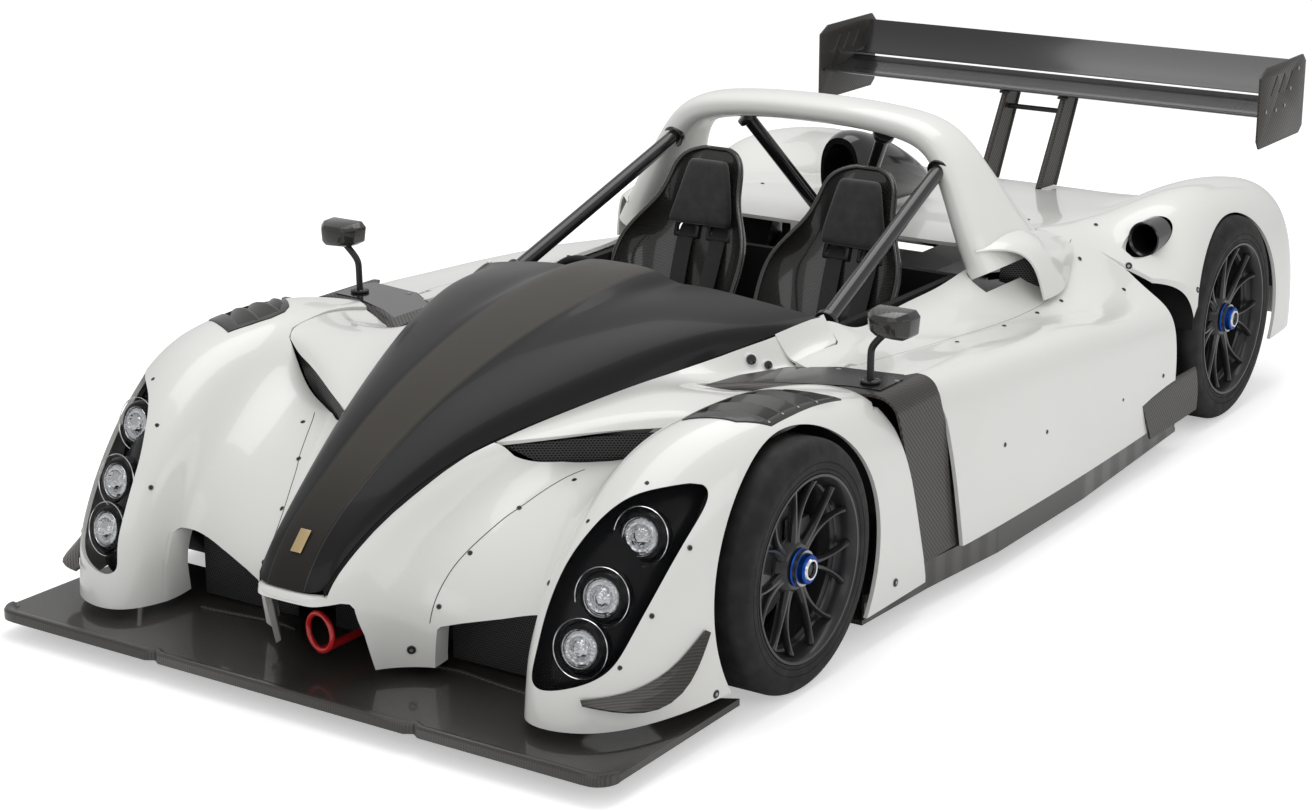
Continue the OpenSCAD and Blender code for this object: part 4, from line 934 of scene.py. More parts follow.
class TrackCarFrontBody(bpy.types.Operator):
    """Front body with its wheel arches and openings"""

    bl_idname = "track_car.front_body"
    bl_label = "Front body"

    def execute(self, context):
        shell = wall("front_body", front_body(110, 224), props().panel)
        nose = [(146, 0), (137, 173), (128, 238), (122, 250), (112, 255)]
        nose += [(-x, z) for x, z in reversed(nose)]
        side = [(528, 0), (524, 248), (514, 257), (478, 248), (400, 225), (306, 202), (258, 188),
                (248, 178), (239, 106), (234, 0)]

        def through(outline, grow=0):
            flat = [(x * MM, z * MM) for x, z in grown(outline, grow)]
            tool = prism("opening_cut", flat, (-0.9, 0.9), FORWARD)
            tool.data.transform(Matrix.Translation((0, FRONT_AXLE - 0.9, 0)))
            return tool if outline is nose else both(tool)

        returns = []
        for outline in (nose, side):
            cut(shell, through(outline))
            # the moulding's edge turned inwards round each opening
            inner = wall("opening_return", front_body(110, 224)[0:48], 0.042)
            cut(inner, through(outline), keep=True)
            cut(inner, through(outline, -4))
            returns.append(inner)
        done(join("opening_returns", *returns), finish("white"))
        self.nose_lip()
        self.scoop_net()
        tools = [wheel_cut(600, 0, 270, 325), behind(VANE_EDGE, 4), bonnet_hole(2)]
        brow = [(-10, -243), (211, -243), (250, -220), (290, -186), (330, -150), (400, -104),
                (480, -60), (542, -24), (588, 0), (604, 32), (616, 115), (630, 197), (641, 299),
                (643, 414), (643, 640), (-10, 640)]
        tools += [both(upright("brow_cut", brow, (0, 900))), both(vane_place(2, 540)),
                  both(lamp_prism(0)), both(louvre_prism(0))]
        cut(shell, *tools)
        done(shell, finish("white"), stands_for=("front_clam",))
        return {"FINISHED"}

    def nose_lip(self):
        """The rounded edge under the bonnet's tip, and the fine seams of the nose"""
        half = [(0, -705, 267), (30, -705, 267), (54, -702, 267), (72, -693, 267),
                (86, -680, 266), (98, -655, 264), (106, -620, 262)]
        path = smooth([(-x, y, z) for x, y, z in half[:0:-1]] + half, 60)
        wide = [(3 + 9.5 * (1 - (abs(k - 30) / 30) ** 2.5)) * MM for k in range(61)]
        lip = tube("nose_lip", car(path), wide, 24)
        done(lip, finish("white"))
        skin = sheet("skin", front_body(110, 224))
        line = [(236, -514, 190), (239, -494, 243), (247, -450, 293), (258, -416, 322),
                (271, -383, 346), (299, -318, 388), (316, -290, 404), (334, -251, 425),
                (358, -200, 448), (373, -171, 458), (388, -147, 465)]
        done(both(seam("nose_seams", skin, line)), finish("seam"))
        bpy.data.objects.remove(skin)

    def scoop_net(self):
        """Honeycomb under the brow panels"""
        skin = sheet("skin", front_body(60, 112))
        top = [(213, -222, 508), (300, -166, 518), (400, -98, 531), (480, -44, 538),
               (540, -8, 544), (586, 14, 562)]
        low = []
        for x, y in ((236, -214), (296, -172), (345, -130), (480, -46), (542, -10), (578, 6)):
            where = skin.ray_cast(Vector(car((x, y, 900))), (0, 0, -1))[1]
            low.append((x, y, where.z / MM - 13))
        bpy.data.objects.remove(skin)
        rows = np.array([low, top], float)
        rows = np.array([smooth(low, 40), smooth((rows[0] + rows[1]) / 2, 40), smooth(top, 40)])
        done(both(wall("scoop_honeycomb", car(rows), 0.004)), finish("mesh"))


class TrackCarBonnet(bpy.types.Operator):
    """Bonnet, the white brows beside it and the plate at its tip"""

    bl_idname = "track_car.bonnet"
    bl_label = "Bonnet"

    def execute(self, context):
        lid = wall("bonnet_lid", car(surface(whole(BONNET_ROWS), 120, 100)), 0.006)
        done(lid, finish("bonnet"), stands_for=("bonnet",))
        skin = sheet("skin", front_body(110, 224))
        edge = car(surface(whole(BONNET_ROWS), 120, 100))[:, -1]
        rows = []
        for x, y, z in edge:
            foot = z - 0.012
            hit, where = skin.ray_cast(Vector((x + 0.001, y, 0.9)), (0, 0, -1))[:2]
            if hit and abs(where.z - z) < 0.08:
                foot = min(foot, where.z - 0.004)
            rows.append([(x - 0.004, y, z - 0.001), (x, y, z - 0.003), (x + 0.0012, y, foot)])
        bpy.data.objects.remove(skin)
        skirt = wall("bonnet_skirt", rows, 0.002)
        done(both(skirt), finish("bonnet"))
        brows = wall("brows", car(surface(BROW_ROWS, 60, 50)), props().panel)
        cut(brows, bonnet_hole(2, 0), vane_place(3))
        done(both(brows), finish("white"), stands_for=("brow_panels",))
        plate = slab("plate", (0.029, 0.056, 0.003), (0, FRONT_AXLE - 0.6515, 0.3725),
                     (math.radians(47), 0, 0), 0.0012)
        done(plate, finish("gold"))
        return {"FINISHED"}


class TrackCarHeadlights(bpy.types.Operator):
    """Headlights: housings, lamps and clear covers"""

    bl_idname = "track_car.headlights"
    bl_label = "Headlights"

    def execute(self, context):
        patch = front_body(110, 224)[0:64, 172:225]
        inward = np.array([-30, 45, -16]) * MM
        floor = wall("lamp_floor", patch + inward, 0.008)
        cut(floor, lamp_prism(-2), keep=True)
        done(both(floor), finish("lamp_black"), stands_for=("headlight_units",))
        rim = wall("lamp_rim", patch + inward * 0.01, 0.052)
        cut(rim, lamp_prism(-0.4), keep=True)
        cut(rim, lamp_prism(-4.2))
        done(both(rim), finish("lamp_black"))
        clear = Finish("clear_cover", (0.02, 0.021, 0.023), 0.5, alpha=0.06,
                       specular_ior_level=0.0)
        thin = wall("lamp_cover", patch + inward * 0.03, 0.003)
        cut(thin, lamp_prism(-4), keep=True)
        done(both(thin), clear.material, stands_for=("headlight_lenses",))
        self.lamps()
        return {"FINISHED"}

    def lamps(self):
        bowl = [(0.0405, -0.006), (0.037, 0.001), (0.032, 0.004), (0.027, 0.003),
                (0.023, -0.002), (0.019, 0.003), (0.014, 0.008), (0.007, 0.011),
                (0.0005, 0.012), (0.0005, -0.030), (0.0405, -0.030)]
        bezel = [(0.0415, 0.001), (0.044, 0.003), (0.050, 0.000), (0.056, -0.010),
                 (0.058, -0.034), (0.0415, -0.034)]
        band = [(0.0395, 0.001), (0.041, 0.0035), (0.0425, 0.001), (0.0425, -0.004),
                (0.0395, -0.004)]
        arc = [(0.0612, 0.0), (0.0625, 0.0014), (0.0638, 0.0), (0.0625, -0.0014)]
        facing = Vector((0.12, -0.96, 0.22)).normalized()
        turn = facing.to_track_quat("X", "Z").to_matrix().to_4x4()
        bowls, bands, bezels = [], [], []
        for place in ((711, -407, 449), (684, -510, 342), (668, -566, 244)):
            here = Matrix.Translation(Vector(car(place))) @ turn
            for kind, outline, steps in ((bowls, bowl, 22), (bands, band, 64), (bezels, bezel, 64),
                                         (bands, arc, 72)):
                part = lathe("lamp", outline, steps, (0, 0, 0))
                part.data.transform(here)
                kind.append(part)
        done(both(join("lamp_bezels", *bezels)), finish("lamp_black"))
        done(both(join("lamp_bands", *bands)), finish("chrome"))
        shine = Finish("lamp_reflector", (0.66, 0.67, 0.69), 0.14, 1.0)
        facets = shine.node("ShaderNodeTexVoronoi", {"feature": "F1"}, {"Scale": 120.0})
        shine.tree.links.new(shine.node("ShaderNodeTexCoord").outputs["Object"],
                             facets.inputs["Vector"])
        shine.relief(Number(shine, facets.outputs["Distance"]), 0.002, 0.8)
        done(both(join("lamp_bowls", *bowls)), shine.material, angle=8)


class TrackCarLouvres(bpy.types.Operator):
    """Louvred vents over the front wheels"""

    bl_idname = "track_car.louvres"
    bl_label = "Louvres"

    def execute(self, context):
        patch = front_body(110, 224)[46:108, 164:224]
        skin = sheet("skin", patch + (0, 0, 0.0026))

        def place(point, drop):
            """The point on the panel at a place in plan, so many millimetres under its face"""
            above = Vector(car((point[0], point[1], 900)))
            hit, where = skin.ray_cast(above, (0, 0, -1))[:2]
            if not hit:
                raise RuntimeError("no louvre panel at %s" % (point,))
            low = max(where.z - drop * MM, min(room(where.y) + 0.0032, where.z))
            return Vector((where.x, where.y, low))

        low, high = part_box("front_tyre_left")
        radius = (high[2] - low[2]) / 2

        def room(y):
            """The lowest height that is clear of the tyre, straight or at full lock"""
            off = max(abs(y - FRONT_AXLE) - 0.090, 0)
            return radius + math.sqrt(max((radius + 0.0065) ** 2 - off * off, 0))

        frame_part = wall("louvre_frame", patch + (0, 0, 0.0026), 0.030)
        cut(frame_part, louvre_prism(-1.2), keep=True)
        parts, heads = [], []
        for (l0, r0), (l1, r1) in zip(SLATS, SLATS[1:]):
            near = [(l0[0], l0[1] + 3), (r0[0], r0[1] + 3)]
            far = [(r1[0], r1[1] - 6), (l1[0], l1[1] - 6)]
            cut(frame_part, upright("slot", near + far, (500, 800)))
            rows = []
            for t in np.linspace(0, 1, 7):
                row = []
                for u in np.linspace(0, 1, 9):
                    a = np.array(near[0]) * (1 - u) + np.array(near[1]) * u
                    b = np.array(far[1]) * (1 - u) + np.array(far[0]) * u
                    row.append(place(a * (1 - t) + b * t, 26 * (1 - t) - 1.8 * t))
                rows.append(row)
            parts.append(wall("slat", rows, 0.0026))
            heads.append(disc("head", place((r0[0] + 5, r0[1] + 2), 1), (0.4, 0, 0.9), 0.003, 0.0025,
                              12))
        bpy.data.objects.remove(skin)
        modify(frame_part, "BEVEL", width=0.0009, segments=2, limit_method="ANGLE",
               angle_limit=0.7)
        for part in [frame_part] + parts:
            for vertex in part.data.vertices:
                vertex.co.z = max(vertex.co.z, room(vertex.co.y))
            part.data.update()
        done(both(join("louvre_panels", frame_part, *parts)), finish("louvre"),
             stands_for=("fender_louvres",), angle=25)
        done(both(join("louvre_rivets", *heads)), finish("steel"))
        return {"FINISHED"}


class TrackCarMiddleBody(bpy.types.Operator):
    """Side pods with their tops, cockpit sides and the white corners by the scuttle"""

    bl_idname = "track_car.middle_body"
    bl_label = "Middle body"

    def execute(self, context):
        ahead = [(x, y - 70, z) for x, y, z in SIDE_ROWS[0]]
        points = car(surface([ahead] + SIDE_ROWS, 120, 90))
        pods = wall("side_pods", points, props().panel)
        low = upright("low_cut", [(-2000, -100), (2000, -100), (2000, 3000), (-2000, 3000)],
                      (-10, 121))
        cut(pods, low, wheel_cut(500, 2457, 300, 303))
        cut(pods, behind(REAR_EDGE, -4), keep=True)
        plan = SEAM_IN + [(x, y - 1) for x, y in SEAM_REAR[1:]] + [(940, 2230), (940, 500)]
        cut(pods, upright("plan_cut", plan, (0, 900)), keep=True)
        # the pod's top goes on forwards as far as the vane's flat top
        top = wall("pod_tops", points, props().panel)
        cut(top, upright("plan_cut", [(622, 540), (806, 540), (806, 640), (622, 640)], (500, 900)),
            keep=True)
        cut(top, behind(REAR_EDGE, -4), vane_place(1, 480))
        done(both(top), finish("white"))
        done(both(pods), finish("white"), stands_for=("side_pods",))
        sides = wall("cockpit_sides", points, props().panel)
        plan = [(x - 2, y) for x, y in SEAM_IN]
        plan += [(562, 1850), (532, 1556), (480, 1550), (400, 705), (528, 699), (545, 692),
                 (550, 678), (545, 608), (541, 560), (541, 500)]
        cut(sides, upright("plan_cut", plan, (0, 900)), keep=True)
        cut(sides, hoop_foot(2))
        done(both(sides), finish("white"), stands_for=("cockpit_sides",))
        scuttle = wall("scuttle_corners", car(surface(SCUTTLE_ROWS, 40, 30)), 0.006)
        plan = [(440, 534), (541, 534), (537, 560), (541, 608), (546, 678), (542, 688), (527, 695),
                (400, 701)]
        cut(scuttle, upright("plan_cut", plan, (0, 900)), keep=True)
        cut(scuttle, bonnet_hole(1, 0))
        done(both(scuttle), finish("white"))
        return {"FINISHED"}


class TrackCarVanes(bpy.types.Operator):
    """Carbon vanes that wrap over the sides behind the front wheels"""

    bl_idname = "track_car.vanes"
    bl_label = "Side vanes"

    def execute(self, context):
        edge = [(862, 123), (863, 200), (863, 300), (863, 420)]
        edge += [(815 + 48 * math.cos(math.radians(a)), 522 + 48 * math.sin(math.radians(a)))
                 for a in range(0, 90, 8)]
        edge += [(x, 570.5 + (812 - x) * 0.01) for x in np.linspace(800, 440, 46)]
        rows = [[(x, y, z) for x, z in reversed(edge)] for y in np.linspace(200, 732, 134)]
        vane = wall("side_vanes", car(rows), 0.007)
        cut(vane, behind([(200, 900), (200, 540), (397, 540)] + VANE_EDGE[1:], 0), keep=True)
        cut(vane, upright("corner_cut", [(808, 100), (960, 100), (960, 399), (808, 399)], (0, 900)))
        cut(vane, behind(REAR_EDGE, 0))
        cut(vane, upright("plan_cut", VANE_PLAN, (0, 900)), keep=True)
        self.roll_edge(vane)
        done(both(vane), finish("carbon_side"), stands_for=("side_vanes",))
        # the lacquered top, with fasteners along its inner edge
        top = [(474, 262), (530, 326), (595, 366), (668, 398), (727, 424), (806, 430), (806, 540),
               (790, 574), (632, 548), (534, 474), (480, 362), (462, 290)]
        lacquer = upright("vane_top", top, (572.2, 573.4))
        done(both(lacquer), finish("gloss"))
        fasteners("vane_fasteners", [((519, 441, 573), (0, 0, 1)), ((800, 520, 572), (0, 0, 1)),
                                     ((640, 530, 573), (0, 0, 1))], 0.006, "steel")
        return {"FINISHED"}

    def roll_edge(self, vane):
        """Rolls the front edge of the flat top down towards the fender"""
        lead, soft = np.array(VANE_PLAN[:4], float), 24.0
        for vertex in vane.data.vertices:
            x, y, z = (np.array(vertex.co) - (0, FRONT_AXLE, 0)) / MM
            if z < 530 or y > 460 or x > 806:
                continue
            inside = (y - np.interp(x, lead[:, 0], lead[:, 1])) * (0.8 if x < 700 else 1.0)
            if inside < soft:
                deep = soft - max(inside, 0)
                drop = (soft - math.sqrt(soft * soft - deep * deep)) * 0.85
                vertex.co.z -= drop * min(1, (806 - x) / 110) * MM
        vane.data.update()


class TrackCarRearBody(bpy.types.Operator):
    """Rear body with the openings for the ducts, roll hoop fairing and side scoops"""

    bl_idname = "track_car.rear_body"
    bl_label = "Rear body"

    def execute(self, context):
        shell = wall("rear_body", car(surface(whole(REAR_ROWS), 110, 220)), props().panel)
        tools = [wheel_cut(500, 2457, 300, 303)]
        tools.append(upright("low_cut", [(-2000, 1000), (2000, 1000), (2000, 4000), (-2000, 4000)],
                             (-10, 175)))
        tools.append(upright("front_cut", [(-2000, 2000), (2000, 2000), (2000, 2460), (-2000, 2460)],
                             (-20, 298)))
        tools.append(hoop_foot(2))
        duct = rod("duct_cut", car((720, 2040, 588)), car((720, 2240, 588)), 0.047, 64)
        tools.append(both(duct))
        plan = [(x, y + 1) for x, y in SEAM_REAR]
        plan += [(940, 2230), (940, 1400), (500, 1400), (530, 1554), (559, 1850), (584, 1903)]
        tools.append(both(upright("plan_cut", plan, (0, 900))))
        cut(shell, *tools)
        done(shell, finish("white"), stands_for=("rear_clam",))
        half = hoop_rings(60, 0, 64)
        other = half[-2::-1] * (-1, 1, 1)
        hoop = loft("hoop_fairing", car(np.concatenate([half, other])))
        done(hoop, finish("white"), stands_for=("roll_hoop",))
        hood = wall("side_scoops", car(surface(SCOOP_ROWS, 60, 70)), 0.006)
        cut(hood, hoop_foot(1))
        done(both(hood), finish("white"), stands_for=("side_scoops",))
        return {"FINISHED"}


class TrackCarWheels(bpy.types.Operator):
    """Rims, tyres and wheel nuts"""

    bl_idname = "track_car.wheels"
    bl_label = "Wheels"

    def execute(self, context):
        for end in ("front", "rear"):
            tyre_low, tyre_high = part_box(end + "_tyre_left")
            rim_low, rim_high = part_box(end + "_rim_left")
            axle = [(a + b) / 2 for a, b in zip(tyre_low, tyre_high)]
            radius = (tyre_high[2] - tyre_low[2]) / 2
            rim = (rim_high[2] - rim_low[2]) / 2
            half = (rim_high[0] - rim_low[0]) / 2
            for side, word in ((1, "left"), (-1, "right")):
                centre = (side * axle[0], axle[1], axle[2])
                body = "wheel_%s_%s" % (end, word)
                self.tyre(end + "_tyre_" + word, centre, side, radius, rim, half, body)
                self.rim(end + "_rim_" + word, centre, side, rim, half, body)
        return {"FINISHED"}

    def tyre(self, node, centre, side, outer, rim, half, body):
        line = []
        for x, sign in ((1, 1), (-1, -1)):
            bend = [(outer - 0.044 + 0.044 * math.sin(a), half - 0.038 + 0.040 * math.cos(a))
                    for a in np.linspace(math.pi / 2, math.radians(14), 14)]
            side_line = bend + [(rim + 0.0275, half + 0.0012), (rim + 0.0265, half - 0.0002),
                                (rim + 0.025, half + 0.001), (rim + 0.012, half),
                                (rim + 0.0105, half - 0.0016), (rim + 0.009, half - 0.0004),
                                (rim + 0.002, half - 0.001), (rim + 0.0006, half - 0.006),
                                (rim - 0.0072, half - 0.0092)]
            points = [(r, sign * a) for r, a in side_line]
            line = line + points if sign > 0 else line + points[::-1]
        piece = lathe(node + "_slick", line, 144, centre, side)
        done(piece, finish("rubber"), body, (node,), 40)

    def rim(self, node, centre, side, r, w, body):
        barrel = [(r, w), (r - 0.0025, w + 0.0005), (r - 0.006, w), (r - 0.013, w - 0.010),
                  (r - 0.016, w - 0.030), (r - 0.020, w - 0.045), (r - 0.031, w - 0.056),
                  (r - 0.031, -w + 0.050), (r - 0.016, -w + 0.038), (r - 0.014, -w + 0.012),
                  (r - 0.006, -w), (r, -w), (r, -w + 0.006), (r - 0.008, -w + 0.009),
                  (r - 0.010, -w + 0.036), (r - 0.025, -w + 0.048), (r - 0.025, w - 0.048),
                  (r - 0.010, w - 0.038), (r - 0.008, w - 0.009), (r, w - 0.006)]
        parts = [lathe("barrel", barrel, 144, centre, side)]
        boss = [(0.035, w - 0.058), (0.062, w - 0.058), (0.066, w - 0.050), (0.058, w - 0.036),
                (0.050, w - 0.030), (0.035, w - 0.030)]
        parts.append(lathe("boss", boss, 72, centre, side))
        reach = r - 0.018
        arm = []
        for sign in (-1, 1):
            rings = []
            for t in np.linspace(0, 1, 17):
                turn = sign * math.radians(90 / 7) * max(t - 0.10, 0) ** 1.35 * 1.15
                radial = 0.052 + (reach - 0.052) * t
                wide = 0.011 - 0.006 * min(t * 1.6, 1) + 0.003 * max(t - 0.85, 0) / 0.15
                deep = 0.024 - 0.006 * t
                front = w - 0.034 + (0.020 * t ** 2.2)
                offset = sign * 0.006 * (1 - t) * 0.9
                ring = []
                for k in range(8):
                    a = math.pi / 4 * k + math.pi / 8
                    across = offset + wide * 1.08 * math.cos(a)
                    along = front - deep / 2 + deep / 2 * 1.08 * math.sin(a)
                    cy, cz = math.cos(turn), math.sin(turn)
                    ring.append((along, radial * cy - across * cz, radial * cz + across * cy))
                rings.append(ring)
            arm.append(loft("arm", rings))
        one = join("spoke", *arm)
        spokes = []
        for k in range(7):
            take(one)
            bpy.ops.object.duplicate()
            copy = called("spoke_copy")
            copy.data.transform(Matrix.Rotation(2 * math.pi * k / 7 + math.pi / 2, 4, "X"))
            spokes.append(copy)
        bpy.data.objects.remove(one)
        star = join("star", *spokes)
        if side < 0:
            star.data.transform(Matrix.Diagonal((-1, 1, 1, 1)))
            edit(star, bpy.ops.mesh.flip_normals)
        star.data.transform(Matrix.Translation(centre))
        piece = join(node + "_spoked", *parts, star)
        done(piece, finish("rim"), body, (node,), 35)
        self.nut(node, centre, side, w, body)

    def nut(self, node, centre, side, w, body):
        end = w - 0.030
        cone = [(0.020, end), (0.041, end), (0.043, end + 0.004), (0.036, end + 0.010),
                (0.033, end + 0.028), (0.030, end + 0.031), (0.026, end + 0.031), (0.020, end + 0.022)]
        done(lathe(node + "_nut", cone, 48, centre, side), finish("nut"), body)
        ring = [(0.019, end + 0.004), (0.026, end + 0.028), (0.023, end + 0.034),
                (0.019, end + 0.034)]
        done(lathe(node + "_nut_ring", ring, 48, centre, side), finish("chrome"), body)
        core = [(0.0005, end), (0.018, end), (0.018, end + 0.026), (0.0005, end + 0.028)]
        done(lathe(node + "_nut_core", core, 6, centre, side), finish("black"), body, (), 10)


class TrackCarSplitter(bpy.types.Operator):
    """Splitter with its raised lip, and the grilles behind the nose openings"""

    bl_idname = "track_car.splitter"
    bl_label = "Splitter"

    def execute(self, context):
        half = [(540, -232), (600, -265), (800, -265), (850, -237), (856, -700)]
        half += [(806 + 50 * math.cos(math.radians(a)), -700 - 50 * math.sin(math.radians(a)))
                 for a in range(15, 90, 15)]
        half += [(800, -750), (385, -750), (365, -738), (345, -750)]
        outline = half + [(-x, y) for x, y in reversed(half)]
        plate = upright("splitter_plate", outline, (45, 61))
        edge = half[4:]
        path = [(x, y) for x, y in edge] + [(-x, y) for x, y in reversed(edge)]
        rings = []
        for i, (x, y) in enumerate(path):
            a = np.array(path[max(i - 1, 0)], float)
            b = np.array(path[min(i + 1, len(path) - 1)], float)
            way = (b - a) / np.linalg.norm(b - a)
            inward = np.array([way[1], -way[0]])
            ring = [(-0.8, 44.5), (-0.8, 64), (3, 69), (9, 70), (17, 68), (26, 61.5), (26, 46)]
            rings.append([(x + inward[0] * d, y + inward[1] * d, h) for d, h in ring])
        lip = loft("splitter_lip", car(rings))
        piece = join("splitter_board", plate, lip)
        done(piece, finish("carbon"), stands_for=("splitter",))
        nets = []
        for x0, x1 in ((-112, 112), (222, 505)):
            net = slab("net", ((x1 - x0) * MM, 0.004, 0.15),
                       ((x0 + x1) / 2 * MM, FRONT_AXLE - 0.415, 0.150), soft=0)
            nets.append(both(net) if x0 > 0 else net)
        done(join("nose_grilles", *nets), finish("mesh"), stands_for=("intake_mesh",))
        # a raised edge that runs across the board inside each side opening
        ridge = tube("ridge", car(smooth([(197, -457, 62), (271, -452, 64), (367, -466, 64),
                                          (470, -472, 62)], 30)), 0.005, 12)
        done(both(ridge), finish("carbon_side"))
        return {"FINISHED"}


class TrackCarSideDetails(bpy.types.Operator):
    """Lower ducts, arch liners, scoop interiors and switches"""

    bl_idname = "track_car.side_details"
    bl_label = "Side details"

    def execute(self, context):
        # lower duct ahead of each rear wheel
        rows = [[(868, 1753, 234), (880, 1758, 225), (884, 1800, 150), (880, 1835, 100)],
                [(868, 1960, 232), (878, 1962, 222), (880, 1975, 150), (876, 1995, 98)],
                [(866, 2150, 230), (874, 2152, 220), (874, 2170, 150), (868, 2180, 96)]]
        duct = wall("lower_ducts", car(surface(rows, 24, 12)), 0.006)
        done(both(duct), finish("carbon_side"))
        # black liners inside the wheel arches, out to the panels' inner faces
        skins = [sheet("skin", front_body(60, 112)), sheet("skin", car(surface(SIDE_ROWS, 50, 50))),
                 sheet("skin", car(surface(whole(REAR_ROWS), 60, 120)))]
        for name, y, z, radius, longer, parts in (
                ("front_liners", 0, 270, 327, 30, skins[:1]),
                ("rear_liners", 2457, 300, 305, 0, skins[1:])):
            rows = []
            for a in np.linspace(math.radians(6), math.radians(174), 90):
                place = Vector(car((700, y - (radius + longer) * math.cos(a),
                                    z + radius * math.sin(a))))
                ends = []
                for way, most in ((-1, 0.150), (1, 0.175)):
                    for part in parts:
                        hit, where = part.ray_cast(place, (way, 0, 0))[:2]
                        if hit:
                            most = min(most, abs(where.x - place.x) - props().panel - 0.002)
                    ends.append(place.x + way * max(most, 0.002))
                rows.append([(x, place.y, place.z) for x in np.linspace(*ends, 8)])
            done(both(wall(name, rows, 0.003)), finish("matte"))
        for part in skins:
            bpy.data.objects.remove(part)
        # floor and back of the side intakes
        net = loft("scoop_nets", car([[(550, 1540, 560), (556, 1540, 660), (590, 1570, 674),
                                       (632, 1595, 648), (658, 1620, 596), (664, 1640, 530),
                                       (600, 1560, 545)],
                                      [(550, 1546, 560), (556, 1546, 660), (590, 1576, 674),
                                       (632, 1601, 648), (658, 1626, 596), (664, 1646, 530),
                                       (600, 1566, 545)]]))
        done(both(net), finish("mesh"))
        # two round switches on each side of the scuttle
        knobs, rims = [], []
        for x, y, z, size in ((455, 436, 588, 1.0), (481, 470, 571, 0.8)):
            centre = Vector(car((x, y, z)))
            facing = Vector((0.76, -0.42, 0.50)).normalized()
            rims.append(disc("bezel", centre - facing * 0.006, facing, 0.018 * size, 0.009, 32,
                             0.002))
            knobs.append(disc("knob", centre + facing * 0.002, facing, 0.0125 * size, 0.008, 24,
                              0.0025))
        done(both(join("switch_bezels", *rims)), finish("white"))
        done(both(join("switches", *knobs)), finish("gloss"))
        return {"FINISHED"}


class TrackCarMirrors(bpy.types.Operator):
    """Angular carbon mirrors on bent posts"""

    bl_idname = "track_car.mirrors"
    bl_label = "Mirrors"

    def execute(self, context):
        x, y, z = 0.808, 0.465 + FRONT_AXLE, 0.722
        front = [(-0.052, -0.018), (-0.030, -0.030), (0.040, -0.034), (0.058, -0.022),
                 (0.062, 0.020), (0.050, 0.034), (-0.044, 0.034), (-0.058, 0.020)]
        rings = []
        for depth, scale in ((-0.040, 0.25), (-0.034, 0.62), (-0.010, 0.95), (0.026, 1.0),
                             (0.034, 0.99)):
            rings.append([(x + u * scale, y + depth, z + v * (scale ** 0.6)) for u, v in front])
        head = loft("mirror_head", rings)
        modify(head, "BEVEL", width=0.003, segments=3, limit_method="ANGLE", angle_limit=0.5)
        done(both(head), finish("carbon_seat"), stands_for=("mirrors",))
        glass = [(x + u * 0.88, y + 0.0345, z + v * 0.86) for u, v in front]
        back = [(a, b + 0.001, c) for a, b, c in glass]
        mirror = Finish("mirror_glass", (0.85, 0.86, 0.87), 0.03, 1.0)
        done(both(loft("mirror_glass", [glass, back])), mirror.material)
        base = Vector(car((757, 472, 574.5)))
        path = smooth([base, base + Vector((0.001, -0.001, 0.06)),
                       base + Vector((0.006, -0.002, 0.088)), Vector((x - 0.012, y, z - 0.024))], 20)
        post = tube("mirror_post", path, 0.0085, 20)
        flange = disc("mirror_flange", base, (0, 0, 1), 0.024, 0.006, 32, 0.0015)
        done(both(join("mirror_posts", post, flange)), finish("black"))
        bolts = [disc("bolt", base + Vector((0.017 * math.cos(a), 0.017 * math.sin(a), 0.005)),
                      (0, 0, 1), 0.0032, 0.003, 6) for a in (0.8, 2.3, 3.9, 5.5)]
        done(both(join("mirror_bolts", *bolts)), finish("steel"))
        return {"FINISHED"}


